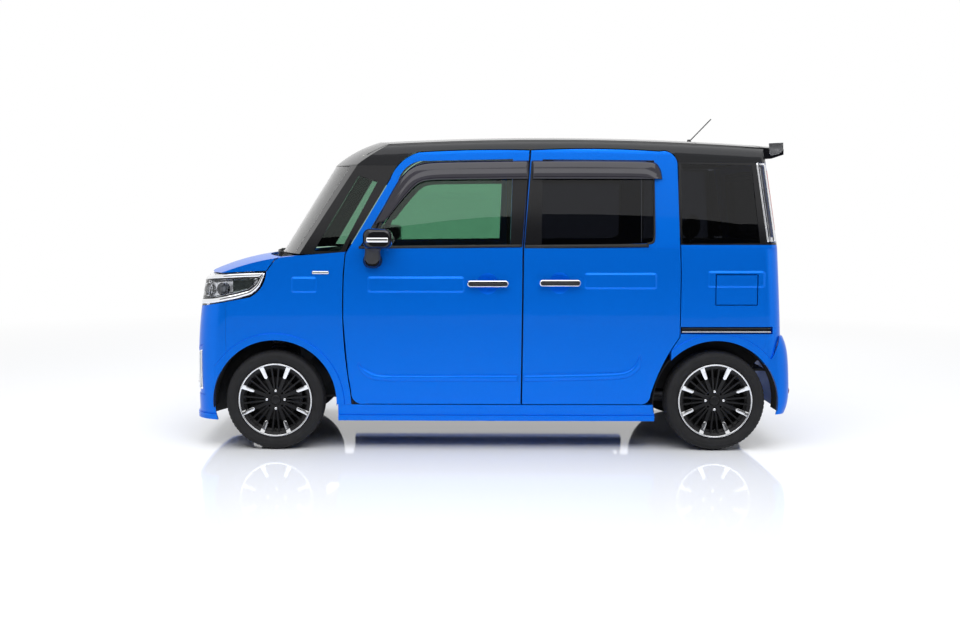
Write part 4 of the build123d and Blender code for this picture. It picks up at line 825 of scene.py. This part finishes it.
def make_head_lamps():
    """Chrome frame on the lens, with dark bezel, shelf and three round eyes inside it."""
    place = round_corner(surface("head_lamps"), HEAD_SPLIT_X, 1)
    for name, edges, lifts, material in (
        ("lamp_brow", (LAMP_TOP, LAMP_TOP_INNER), ROUND_LIFTS, CHROME),
        ("lamp_chin", (LAMP_FOOT, LAMP_FOOT_INNER), FLAT_LIFTS, CHROME),
        ("lamp_bezel", (LAMP_TOP_INNER, LAMP_FOOT_INNER), (-0.030, -0.034, -0.036, -0.034, -0.030), SILVER),
        ("lamp_prisms", (PRISM_TOP, PRISM_FOOT),
         [-0.024 + 0.010 * (k % 2) for k in range(2 * PRISM_RIBS + 1)], PRISM),
        ("lamp_shelf", (LAMP_SHELF, LAMP_SHELF_LOW), (-0.014, -0.010, -0.014), CHROME),
        ("lamp_line", (LAMP_TOP_INNER, [(x, z - 0.007) for x, z in LAMP_TOP_INNER]), (0.0004, 0.0008, 0.0004),
         GLOSS_BLACK),
        ("lamp_under_line", (LAMP_FOOT_INNER, [(x, z + 0.005) for x, z in LAMP_FOOT_INNER]),
         (0.0003, 0.0006, 0.0003), GLOSS_BLACK),
    ):
        edges = [smooth_path(row, 1) for row in edges]
        strips(name, edges, lifts, place, 64, material)
    cups, eyes = [], []
    for x in LAMP_EYES:
        z = 0.905 + (x + 1.500) * 0.05
        cups.append(turned(LAMP_CUP, place, (x, z), 40))
        eyes.append(turned(LAMP_EYE, place, (x, z), 40))
    both_sides("lamp_cups", *joined(*cups), CHROME)
    both_sides("lamp_eyes", *joined(*eyes), EYE)


# The upright line that the tail lamp's outline goes round
TAIL_LINE = (Vector((1.502, -0.610, 1.162)), Vector((1.442, -0.560, 1.604)))
TAIL_ARC_R = 0.100


def round_post(tree, foot, head):
    """A placer round an upright edge: how far round from straight out to straight back, and height."""
    last = []

    def place(point, lift):
        turn = point[0] / TAIL_ARC_R
        centre = foot.lerp(head, (point[1] - foot.z) / (head.z - foot.z))
        way = Vector((math.sin(turn), -math.cos(turn), 0.0))
        return settle(tree, centre + way * 0.5, -way, lift, last)

    return place


def make_tail_lamps():
    """Dark front edge, silver reflector and red guides inside the clear lens."""
    place = round_post(surface("tail_lamps"), *TAIL_LINE)
    rows = (
        # name, arc of the near edge at head and foot, arc of the far edge, heights, lifts, material
        ("tail_edge", (0.024, 0.024), (0.034, 0.034), (1.600, 1.166), (0.0006, 0.002, 0.0006), SILVER),
        ("tail_back", (0.026, 0.026), (0.120, 0.172), (1.598, 1.168), (-0.022, -0.026, -0.026, -0.022),
         SMOKE_GREY),
        ("tail_wall", (0.078, 0.086), (0.116, 0.150), (1.596, 1.172), (-0.004, -0.003, -0.004), FROST),
        ("tail_guide", (0.040, 0.040), (0.046, 0.046), (1.585, 1.190), (-0.010, -0.006, -0.010), SILVER),
        ("tail_guide_top", (0.034, 0.034), (0.104, 0.104), (1.600, 1.590), (-0.001, 0.001, -0.001), SILVER),
        ("tail_guide_low", (0.034, 0.034), (0.150, 0.150), (1.192, 1.168), (-0.001, 0.001, -0.001), SILVER),
        ("tail_rim", (0.068, 0.072), (0.090, 0.102), (1.598, 1.170), (0.0004, 0.0022, 0.0022, 0.0004),
         SILVER),
        ("tail_stop", (0.102, 0.124), (0.117, 0.148), (1.560, 1.230), (-0.001, 0.001, -0.001), RED),
    )
    for name, near, far, heights, lifts, material in rows:
        edges = [list(zip(arcs, heights)) for arcs in (near, far)]
        strips(name, edges, lifts, place, 40, material, thick=0.0012)


# Rings of the mirror's foot. Columns: z, middle x and y, half sizes in x and y
MIRROR_FOOT = (
    (1.036, -0.657, -0.750, 0.030, 0.016), (1.046, -0.657, -0.752, 0.042, 0.024),
    (1.068, -0.657, -0.756, 0.046, 0.029), (1.092, -0.656, -0.762, 0.045, 0.031),
    (1.112, -0.655, -0.774, 0.042, 0.031), (1.132, -0.652, -0.792, 0.044, 0.034),
    (1.142, -0.650, -0.806, 0.048, 0.038),
)


def make_mirror_feet():
    """The grained foot that carries each mirror's housing on the door."""
    verts, steps = [], 36
    for z, x, y, half_x, half_y in MIRROR_FOOT:
        for k in range(steps):
            c, s = turn_at(k, steps)
            verts.append((x + half_x * squared(c, 0.8), y + half_y * squared(s, 0.8), z))
    faces = ring_faces(len(MIRROR_FOOT), steps)
    faces.append(tuple(range(steps))[::-1])
    faces.append(tuple(range(len(verts) - steps, len(verts))))
    both_sides("mirror_foot", verts, faces, GRAINED, "door")


# The mirror glass's middle and its half sizes, each y and z
MIRROR_GLASS = ((-0.815, 1.186), (0.046, 0.034))


def make_mirrors():
    """The mirror's turn strip and its glass."""
    tree = surface("mirror_left")
    lifts = (0.0004, 0.0016, 0.002, 0.0016, 0.0004)
    edges = bar(-0.684, -0.566, 1.193, 1.168)
    strips("mirror_strip", edges, lifts, on_side(tree), 20, CHROME, "door", 0.001)
    back = on_front(tree, -1)
    (mid_y, mid_z), (half_y, half_z) = MIRROR_GLASS
    verts, steps, shares = [], 32, (1.0, 0.93, 0.5, 0.0)
    for share in shares:
        for k in range(steps):
            c, s = turn_at(k, steps)
            spot = (mid_y + squared(c, 0.5) * half_y * share, mid_z + squared(s, 0.5) * half_z * share)
            verts.append(back(spot, 0.0012 if share < 1 else 0.0002))
    both_sides("mirror_glass", verts, ring_faces(len(shares), steps), MIRROR, "door")


# ---------------------------------------------------------------- nose, tail and roof


def centred(name, edges, lifts, place, material, count, body="body"):
    """A strip across the nose or tail that is its own mirror image."""
    add_mesh(name, *ribbon(*edges, lifts, place, count), material, body, thick=0.0015)


def make_grille():
    """Bright edges on the grille's three bars and a lattice in the lower intake."""
    place = on_front(surface("grille"))
    for k, z in enumerate((0.826, 0.876, 0.926)):
        centred(f"grille_bar_{k}", bar(-0.343, 0.343, z + 0.006, z - 0.006), ROUND_LIFTS, place, CHROME, 60)
    parts = []
    for z in (0.285, 0.320, 0.355, 0.390):
        parts.append(ribbon(*bar(-0.414, 0.414, z + 0.004, z - 0.004), (0.001, 0.005, 0.001), place, 40))
    for k in range(-11, 12):
        y = k * 0.036
        near, far = [[(y + shift, 0.258), (y + shift, 0.412)] for shift in (-0.0025, 0.0025)]
        parts.append(ribbon(near, far, THIN_LIFTS, place, 8))
    add_mesh("intake_lattice", *joined(*parts), GRAINED, thick=0.0015)


# The fog lamp's middle, y and z
FOG_AT = (-0.550, 0.370)


def make_corner_lamps():
    """The upright lamp strip in each front corner's pocket, in a bright frame."""
    place = on_front(surface("front_bumper"))
    frame_rows = (((-0.634, 0.555), (-0.628, 0.330)), ((-0.600, 0.545), (-0.596, 0.330)))
    strips("corner_frame", frame_rows, (0.0005, 0.006, 0.006, 0.0005), place, 24, CHROME)
    strip_rows = (((-0.626, 0.546), (-0.621, 0.340)), ((-0.608, 0.540), (-0.603, 0.340)))
    strips("corner_strip", strip_rows, (0.007, 0.009, 0.007), place, 24, FROST)
    eye = turned([(0.0, 0.010), (0.020, 0.009), (0.032, 0.004), (0.034, 0.001)], place, FOG_AT, 40)
    both_sides("fog_lamp", *eye, EYE)
    ring = turned([(0.035, 0.001), (0.036, 0.006), (0.040, 0.007), (0.043, 0.001)], place, FOG_AT, 40)
    both_sides("fog_ring", *ring, CHROME)


def make_windscreen_border():
    """The black border baked on the windscreen's inside, and the interior mirror on it."""
    place = on_front(surface("windscreen"))
    lifts = (-0.0062, -0.0062)
    foot, head = 1.108, 1.580
    bands = (
        ([(-0.56, head), (0.56, head)], [(-0.57, head - 0.050), (0.57, head - 0.050)]),
        ([(-0.60, foot + 0.045), (0.60, foot + 0.045)], [(-0.605, foot), (0.605, foot)]),
    )
    parts = [ribbon(*edges, lifts, place, 40) for edges in bands]
    for side in (-1, 1):
        outer = [(side * 0.630, foot), (side * 0.5805, head)]
        inner = [(side * 0.590, foot), (side * 0.545, head)]
        parts.append(ribbon(outer, inner, lifts, place, 30))
    add_mesh("screen_border", *joined(*parts), GLOSS_BLACK, thick=0.0008)
    stalk = place((0.0, 1.545), -0.012)
    glass_at = stalk + Vector((0.065, 0.0, -0.045))
    add_mesh("room_mirror_stalk", *tube([stalk, stalk.lerp(glass_at, 0.5), glass_at], 0.007), GRAINED)
    low, high = glass_at + Vector((-0.010, -0.115, -0.032)), glass_at + Vector((0.012, 0.115, 0.032))
    add_mesh("room_mirror", *box(low, high), GRAINED, bevel=0.009)


# The roof's left ditch: its front end, its length and its y
DITCH = (-0.688, 2.10, -0.599)


def make_roof_strips():
    """Dark rubber strips in the roof's two ditches."""
    tree, count = surface("roof_panel"), 60
    start, length, y = DITCH
    points = []
    for i in range(count):
        above = Vector((start + length * i / (count - 1), y, 3.0))
        points.append(tree.ray_cast(above, -UP)[0] + UP * 0.0022)
    both_sides("roof_strip", *tube(points, 0.0045, 8), RUBBER_TRIM)


CREASE_PATHS = {
    "door": ((-0.742, 0.492), (-0.700, 0.455), (-0.640, 0.427), (-0.560, 0.424), (-0.200, 0.424),
             (0.150, 0.424)),
    "body": ((0.182, 0.424), (0.500, 0.430), (0.715, 0.436), (0.770, 0.452), (0.806, 0.490), (0.822, 0.535)),
}
CREASE_DEPTH = 0.034
CREASE_LIFTS = (0.0002, 0.0028, 0.0048, 0.0052, 0.0042, 0.0026, 0.0012, 0.0002)


def make_door_creases():
    """The soft fold along the foot of the doors."""
    for body, nodes in (("door", ("front_door_left",)), ("body", ("slide_doors",))):
        place = on_side(surface(*nodes))
        upper = smooth_path(CREASE_PATHS[body], 2)
        count = len(upper)
        lower = []
        for i, point in enumerate(upper):
            along = upper[min(i + 1, count - 1)] - upper[max(i - 1, 0)]
            across = Vector((along.y, -along.x)).normalized()
            fade = min(1.0, 0.05 + i / 6) if body == "door" else min(1.0, 0.05 + (count - 1 - i) / 6)
            lower.append(point + across * CREASE_DEPTH * fade)
        strips(f"{body}_crease", (upper, lower), CREASE_LIFTS, place, 80, BLUE, body, 0.0006)


WING_PLATE_Y = (-0.5835, -0.5865)
WING_PLATE = ((1.548, 1.714), (1.628, 1.718), (1.630, 1.676), (1.606, 1.656), (1.566, 1.648), (1.552, 1.655))


def make_tailgate_lining():
    """The dark lining on the inside of the tailgate."""
    place = along_car(surface("tailgate"), REARWARD, 0.9)
    head, foot = [(-0.470, 1.120), (0.470, 1.120)], [(-0.500, 0.720), (0.500, 0.720)]
    lining = ribbon(head, foot, (0.001, 0.008, 0.010, 0.010, 0.010, 0.008, 0.001), place, 40)
    add_mesh("gate_lining", *lining, INTERIOR, "rear_gate", thick=0.002)


def make_wing_plates():
    """Bright end plates on the spoiler."""
    verts = [(x, y, z) for y in WING_PLATE_Y for x, z in WING_PLATE]
    count = len(WING_PLATE)
    faces = ring_faces(2, count) + [tuple(range(count)), tuple(range(count, 2 * count))[::-1]]
    both_sides("wing_plate", verts, faces, SATIN, "rear_gate", smooth=False, bevel=0.001)


# Edges of the rear wiper's blade and of the bumper's reflector
WIPER_BLADE = ((-0.400, 1.236), (-0.080, 1.290)), ((-0.398, 1.226), (-0.078, 1.280))
REFLECTOR = ((-0.640, 0.345), (-0.520, 0.350)), ((-0.636, 0.312), (-0.520, 0.318))


def make_tailgate_trim():
    """Rear wiper, high brake lamp, the grip under the garnish and the window's dark border."""
    glass_place = on_front(surface("tailgate_glass"), -1)
    pivot = glass_place((0.02, 1.185), 0.014)
    elbow = glass_place((-0.10, 1.200), 0.024)
    tip = glass_place((-0.24, 1.262), 0.016)
    arm = tube([pivot, pivot.lerp(elbow, 0.5), elbow, tip], [0.011, 0.009, 0.006, 0.005])
    add_mesh("rear_wiper_arm", *arm, GRAINED, "rear_gate")
    cap = turned([(0.0, 0.026), (0.012, 0.025), (0.017, 0.019), (0.018, 0.001)], glass_place, (0.02, 1.185))
    add_mesh("rear_wiper_cap", *cap, GRAINED, "rear_gate")
    blade = ribbon(*WIPER_BLADE, (0.001, 0.012, 0.001), glass_place, 30)
    add_mesh("rear_wiper_blade", *blade, RUBBER_TRIM, "rear_gate", "dark_plastic", thick=0.002)
    bands = (
        ([(-0.463, 1.556), (0.463, 1.556)], [(-0.466, 1.520), (0.466, 1.520)]),
        ([(-0.499, 1.210), (0.499, 1.210)], [(-0.4995, 1.172), (0.4995, 1.172)]),
    )
    parts = [ribbon(*edges, (-0.0062, -0.0062), glass_place, 30) for edges in bands]
    add_mesh("rear_glass_border", *joined(*parts), GLOSS_BLACK, "rear_gate", thick=0.0008)
    wing = on_front(surface("spoiler"), -1)
    centred("high_lamp", bar(-0.150, 0.150, 1.676, 1.660), THIN_LIFTS, wing, RED, 24, "rear_gate")
    gate = on_front(surface("tailgate"), -1)
    lifts = (0.0005, 0.004, 0.005, 0.004, 0.0005)
    centred("gate_garnish", bar(-0.212, 0.212, 1.026, 0.990), lifts, gate, CHROME, 40, "rear_gate")
    lifts = (0.0005, 0.004, 0.0005)
    centred("gate_grip", bar(-0.110, 0.110, 0.9845, 0.976), lifts, gate, GRAINED, 20, "rear_gate")
    bumper = on_front(surface("rear_bumper"), -1)
    strips("rear_reflector", REFLECTOR, FLAT_LIFTS, bumper, 24, RED, thick=0.0012)


# ---------------------------------------------------------------- cabin and underside


def row_at(rows, share):
    """One row of numbers between given rows, at a share of the way along their first column."""
    want = rows[0][0] + (rows[-1][0] - rows[0][0]) * share
    k = 0
    while k < len(rows) - 2 and rows[k + 1][0] < want:
        k += 1
    t = (want - rows[k][0]) / (rows[k + 1][0] - rows[k][0])
    t = t * t * (3 - 2 * t)
    return [want] + [a + (b - a) * t for a, b in zip(rows[k][1:], rows[k + 1][1:])]


def pad_shape(rows, y, flat=False, seams=(), side_seam=0.62, end=0.10):
    """A stuffed form through rows of place, middle, depth and width; flat lays it along X, else it stands.

    Seams cross it at shares of its length, two run along it, and its ends are rounded over a share of it.
    """
    levels, steps = 72, 72
    verts = []
    for i in range(levels):
        share = 0.5 - 0.5 * math.cos(math.pi * i / (levels - 1))
        place, middle, depth, width = row_at(rows, share)
        near = min(share, 1 - share) / end
        close = math.sqrt(max(0.0, 1 - (1 - min(1.0, near)) ** 2))
        groove = sum(0.005 * math.exp(-(((share - at) / 0.010) ** 2)) for at in seams)
        for k in range(steps):
            c, s = turn_at(k, steps)
            across = squared(s, 0.55) * close ** 0.6
            out = squared(c, 0.62) * close
            line = 0.004 * math.exp(-(((abs(across) - side_seam) / 0.035) ** 2))
            out = out * (depth / 2 - groove - line)
            side = y + across * width / 2
            verts.append((place, side, middle + out) if flat else (middle + out, side, place))
    return verts, ring_faces(levels, steps)


# Seat forms. Columns of a standing row: height, middle x, depth, width
# and of a lying row: x, middle height, depth, width
FRONT_BACK = ((0.560, 0.030, 0.116, 0.440), (0.760, 0.088, 0.128, 0.488), (1.000, 0.158, 0.108, 0.468),
              (1.165, 0.205, 0.068, 0.400))
FRONT_CUSHION = ((-0.498, 0.512, 0.150, 0.470), (-0.250, 0.512, 0.156, 0.488), (0.055, 0.508, 0.150, 0.480))
FRONT_HEAD = ((1.190, 0.212, 0.082, 0.210), (1.275, 0.222, 0.102, 0.248), (1.364, 0.233, 0.070, 0.200))
REAR_BACK = ((0.600, 1.020, 0.108, 0.500), (0.850, 1.095, 0.113, 0.522), (1.158, 1.179, 0.070, 0.498))
REAR_CUSHION = ((0.532, 0.565, 0.144, 1.040), (0.800, 0.565, 0.148, 1.056), (1.026, 0.562, 0.144, 1.050))
REAR_HEAD = ((1.176, 1.180, 0.068, 0.210), (1.242, 1.188, 0.082, 0.238), (1.314, 1.195, 0.060, 0.200))
FRONT_SEAT_Y = 0.320
REAR_SEAT_Y = 0.265


def pad(name, shape, node):
    """A stuffed piece that stands for a CAD seat."""
    piece = add_mesh(name, *shape, SEAT)
    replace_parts(piece, node)


def make_seats():
    """Front seats and rear bench: cushions, backs, head rests on stalks, and their bases."""
    for hand, side in (("left", -1), ("right", 1)):
        y = side * FRONT_SEAT_Y
        pad(f"front_cushion_{hand}", pad_shape(FRONT_CUSHION, y, True, (0.22, 0.48, 0.74)), "front_seats")
        pad(f"front_back_{hand}", pad_shape(FRONT_BACK, y, False, (0.26, 0.48, 0.70)), "front_seats")
        pad(f"front_head_{hand}", pad_shape(FRONT_HEAD, y, False, (), 0.80, 0.35), "front_seats")
        base = box((-0.420, y - 0.190, 0.262), (-0.060, y + 0.190, 0.446))
        piece = add_mesh(f"front_seat_base_{hand}", *base, INTERIOR, bevel=0.018)
        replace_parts(piece, "front_seats")
        stalks = [tube([(0.205, y + shift, 1.140), (0.216, y + shift, 1.215)], 0.0065, 12)
                  for shift in (-0.05, 0.05)]
        add_mesh(f"front_stalks_{hand}", *joined(*stalks), CHROME, "body", "bare_steel")
        y = side * REAR_SEAT_Y
        pad(f"rear_back_{hand}", pad_shape(REAR_BACK, y, False, (0.30, 0.62)), "rear_seat")
        pad(f"rear_head_{hand}", pad_shape(REAR_HEAD, y, False, (), 0.80, 0.35), "rear_seat")
        stalks = [tube([(1.178, y + shift, 1.125), (1.186, y + shift, 1.200)], 0.0065, 12)
                  for shift in (-0.045, 0.045)]
        add_mesh(f"rear_stalks_{hand}", *joined(*stalks), CHROME, "body", "bare_steel")
    pad("rear_cushion", pad_shape(REAR_CUSHION, 0.0, True, (0.35, 0.70)), "rear_seat")
    base = box((0.700, -0.470, 0.445), (1.000, 0.470, 0.505))
    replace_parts(add_mesh("rear_seat_base", *base, INTERIOR, bevel=0.012), "rear_seat")


def make_headliner():
    """The pale lining under the roof."""
    verts, rows, columns = [], 24, 17
    for i in range(rows):
        x = -0.72 + 2.12 * i / (rows - 1)
        t = (x - CABIN_MID_X) / CABIN_STEP_X
        crown = CROWN_TERMS[0] + CROWN_TERMS[2] * t * t - 0.047
        for j in range(columns):
            y = -0.585 + 1.17 * j / (columns - 1)
            verts.append((x, y, crown - 0.045 * (y / 0.60) ** 2 - 0.05 * max(0.0, abs(y) - 0.50)))
    add_mesh("headliner", verts, grid_faces(rows, columns), LINING, thick=0.003)


def make_dash_fittings():
    """Instrument hood, middle screen, vents and the lever on the dashboard."""
    parts = []
    hood = box((-0.985, 0.170, 1.045), (-0.862, 0.490, 1.105))
    add_mesh("instrument_hood", *hood, INTERIOR, bevel=0.022)
    screen = box((-0.872, -0.110, 0.905), (-0.838, 0.110, 1.035))
    add_mesh("middle_screen", *screen, GLOSS_BLACK, bevel=0.006)
    for y in (-0.560, -0.170, 0.170, 0.560):
        parts.append(box((-0.852, y - 0.045, 0.955), (-0.832, y + 0.045, 1.005)))
    add_mesh("vents", *joined(*parts), GLOSS_BLACK, bevel=0.006)
    stick = [(-0.90, 0.085, 0.860), (-0.835, 0.085, 0.885), (-0.800, 0.085, 0.900)]
    add_mesh("gear_lever", *tube(stick, [0.008, 0.009, 0.019]), GLOSS_BLACK)


# Outlines of the front door's lining. Columns: x, z along its head and its foot
CARD_HEAD = ((-0.690, 1.105), (-0.400, 1.110), (-0.100, 1.112), (0.118, 1.112))
CARD_FOOT = ((-0.650, 0.420), (-0.520, 0.300), (-0.100, 0.290), (0.118, 0.290))
INSERT_HEAD = ((-0.560, 1.020), (-0.300, 1.030), (0.060, 1.030))
INSERT_FOOT = ((-0.520, 0.870), (-0.300, 0.865), (0.060, 0.865))
CARD_LIFTS = (0.001, 0.008, 0.010, 0.011, 0.011, 0.012, 0.013, 0.013, 0.012, 0.010, 0.001)
INSERT_LIFTS = (0.011, 0.015, 0.016, 0.016, 0.015, 0.011)


def make_door_cards():
    """Linings, cloth inserts, arm rests and pulls on the inside of the doors."""
    place = across_car(surface("front_door_left"), -RIGHTWARD, -0.30)
    strips("door_card", (CARD_HEAD, CARD_FOOT), CARD_LIFTS, place, 48, INTERIOR, "door", 0.002)
    strips("door_insert", (INSERT_HEAD, INSERT_FOOT), INSERT_LIFTS, place, 40, SEAT, "door", 0.002)
    low, high = place((-0.250, 0.830), 0.004), place((-0.250, 0.830), 0.062)
    rest = box((-0.530, low.y, 0.805), (0.050, high.y, 0.850))
    both_sides("arm_rest", *rest, INTERIOR, "door", bevel=0.014)
    pull = place((-0.420, 0.955), 0.020)
    grip = box((-0.460, pull.y - 0.008, 0.945), (-0.370, pull.y + 0.006, 0.965))
    both_sides("door_pull", *grip, CHROME, "door", bevel=0.004)
    slide = box((0.340, -0.668, 0.800), (0.760, -0.625, 0.845))
    both_sides("slide_arm_rest", *slide, INTERIOR, bevel=0.012)


def make_engine_bay():
    """Engine cover with ribs, battery and three caps on the plain engine block."""
    low, high = [Vector(v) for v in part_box("engine")]
    top = high.z
    span = high.y - low.y
    cover = box((low.x + 0.05, low.y + 0.10 * span, top - 0.010),
                (high.x - 0.03, low.y + 0.58 * span, top + 0.012))
    add_mesh("engine_cover", *cover, GRAINED, bevel=0.008)
    ribs = []
    for k in range(5):
        y = low.y + (0.16 + 0.09 * k) * span
        ribs.append(box((low.x + 0.07, y, top + 0.010), (high.x - 0.05, y + 0.010, top + 0.018)))
    add_mesh("engine_ribs", *joined(*ribs), GRAINED, bevel=0.003)
    battery = box((low.x + 0.06, low.y + 0.66 * span, top - 0.010),
                  (high.x - 0.06, low.y + 0.96 * span, top + 0.014))
    add_mesh("battery", *battery, GLOSS_BLACK, "body", "dark_plastic", bevel=0.004)
    caps = []
    for x, y in ((low.x + 0.09, 0.72), (low.x + 0.09, 0.90), (high.x - 0.08, 0.30)):
        foot = Vector((x, low.y + y * span, top + 0.012))
        caps.append(lathe_up([(0.0, 0.009), (0.009, 0.009), (0.011, 0.006), (0.011, 0.0)], foot, UP, 24))
    add_mesh("engine_caps", *joined(*caps), SATIN, "body", "bare_steel")


def helix(start, end, radius, turns, wire, steps=24):
    """A coil spring between two points."""
    start, end = Vector(start), Vector(end)
    across, over = axes_round((end - start).normalized(), REARWARD)
    points = []
    for i in range(turns * steps + 1):
        c, s = turn_at(i, steps)
        points.append(start.lerp(end, i / (turns * steps)) + (across * c + over * s) * radius)
    return tube(points, wire, 8)


STRUT = (Vector((FRONT_AXLE_X, -0.590, 0.195)), Vector((FRONT_AXLE_X + 0.020, -0.475, 0.735)))
REAR_SPRING = ((1.180, -0.455, 0.318), (1.180, -0.455, 0.420))


def make_springs():
    """Coil springs round the front struts and the rear spring posts."""
    foot, head = STRUT
    low, high = foot.lerp(head, 0.60), foot.lerp(head, 0.88)
    both_sides("front_spring", *helix(low, high, 0.052, 6, 0.006), STEEL, "steer")
    seat = [(0.026, 0.0), (0.060, 0.004), (0.066, 0.012), (0.062, 0.016), (0.026, 0.012)]
    both_sides("spring_seat", *lathe_up(seat, low, (head - foot).normalized()), STEEL, "steer")
    both_sides("rear_spring", *helix(*REAR_SPRING, 0.053, 4, 0.006), STEEL)


# ---------------------------------------------------------------- floor, light and camera

FLOOR_HALF = 60.0
FLOOR_COLOR = (0.86, 0.87, 0.89)
FLOOR_FADE = (3.0, 9.0)
DOME_LEVELS = (0.10, 0.80)
CARD_Y = -12.0
CARD_HALF = 14.0
CARD_TOP = 3.8
CAMERA_AT = (-0.2544, -7.669, 1.3536)
CAMERA_PITCH = 5.104
CAMERA_YAW = 0.932
FOCAL_PX = 1254.0
FRAME_PX = 960.0
SENSOR_MM = 36.0
CENTRE_X_PX = 425.0


# Columns: name, place, aim, size, power in watts, whether the paint mirrors it
LIGHTS = (
    ("overhead", (0.0, -2.0, 5.0), (0.0, -1.2, 0.6), (7.0, 6.0), 230.0, True),
    ("side_left", (-0.5, -5.2, 5.0), (0.0, 0.0, 0.5), (7.0, 2.0), 210.0, False),
    ("side_right", (1.0, 6.0, 3.5), (0.0, 0.0, 0.8), (6.0, 2.5), 110.0, False),
)


def floor_material():
    """Pale polished floor that fades to plain white away from the car."""
    mat = Shader("studio_floor")
    wear = mat.spread(mat.noise(1.5), 0.3, 0.7, 0.03, 0.06)
    polished = mat.add("BsdfPrincipled", Base_Color=FLOOR_COLOR, Roughness=wear)
    away = mat.operate("VectorMath", "LENGTH", mat.spot)
    mat.mix(mat.spread(away, *FLOOR_FADE, 0.0, 1.0), polished, mat.add("Emission", Strength=1.0))
    return mat.owner


def make_floor():
    bpy.ops.mesh.primitive_plane_add(size=2 * FLOOR_HALF, location=(0, 0, 0))
    floor = bpy.context.object
    floor.name = "floor"
    floor.data.materials.append(floor_material())


def make_world():
    """White where seen directly, in metal or through glass; a soft grey dome as light."""
    world = bpy.data.worlds.new("studio")
    bpy.context.scene.world = world
    sky = Shader(world, "OutputWorld", "Generated")
    dome = sky.spread(sky.along("Z"), 0.0, 0.7, *DOME_LEVELS)
    soft = sky.add("Background", Color=(0.95, 0.97, 1.0), Strength=dome)
    white = sky.add("Background", Color=(1.0, 1.0, 1.0), Strength=1.0)
    path = sky.add("LightPath").outputs
    seen = path["Is Camera Ray"]
    for other in ("Is Glossy Ray", "Is Transmission Ray"):
        seen = sky.operate("Math", "MAXIMUM", seen, path[other])
    sky.mix(seen, soft, white)


def make_dark_card():
    """A dark wall behind the camera, which deepens the paint and the foot of the windows' reflections."""
    verts, faces = box((-CARD_HALF, CARD_Y - 0.1, 0.0), (CARD_HALF, CARD_Y, CARD_TOP))
    mesh = bpy.data.meshes.new("dark_card")
    mesh.from_pydata(verts, [], faces)
    mesh.materials.append(plastic("card_grey", (0.035, 0.035, 0.038), 0.9))
    card = bpy.data.objects.new("dark_card", mesh)
    bpy.context.collection.objects.link(card)
    card.visible_camera = False


def area_light(name, place, aim, size, power, mirrored):
    """An area light; one that isn't mirrored lights the car without a reflection of its own."""
    light = bpy.data.lights.new(name, "AREA")
    light.shape = "RECTANGLE"
    light.size, light.size_y = size
    light.energy = power
    lamp = bpy.data.objects.new(name, light)
    bpy.context.collection.objects.link(lamp)
    lamp.location = place
    lamp.rotation_euler = (Vector(aim) - Vector(place)).to_track_quat("-Z", "Y").to_euler()
    lamp.visible_glossy = mirrored


def make_camera():
    data = bpy.data.cameras.new("camera")
    data.sensor_width = SENSOR_MM
    data.lens = FOCAL_PX / FRAME_PX * SENSOR_MM
    data.shift_x = (FRAME_PX / 2 - CENTRE_X_PX) / FRAME_PX
    data.clip_end = 200.0
    camera = bpy.data.objects.new("camera", data)
    bpy.context.collection.objects.link(camera)
    camera.location = CAMERA_AT
    pitch, yaw = math.radians(CAMERA_PITCH), math.radians(CAMERA_YAW)
    ahead = Vector((-math.sin(yaw) * math.cos(pitch), math.cos(yaw) * math.cos(pitch), -math.sin(pitch)))
    camera.rotation_euler = ahead.to_track_quat("-Z", "Y").to_euler()
    bpy.context.scene.camera = camera


for make in (
    dress_nodes, make_visors, make_pillar_covers, make_belt_mouldings, make_window_seals,
    make_handle_inlays, make_fender_badge, make_rail_slots, make_wheels, make_dust_shields,
    make_arch_skirts, make_well_walls, make_head_lamps, make_tail_lamps, make_mirrors, make_mirror_feet,
    make_grille, make_corner_lamps, make_windscreen_border, make_roof_strips, make_tailgate_trim,
    make_tailgate_lining, make_wing_plates, make_door_creases, make_seats, make_headliner,
    make_dash_fittings, make_door_cards, make_engine_bay, make_springs, make_floor, make_dark_card,
    make_world,
):
    make()
for light in LIGHTS:
    area_light(*light)
make_camera()
bpy.context.scene.view_settings.view_transform = "Standard"
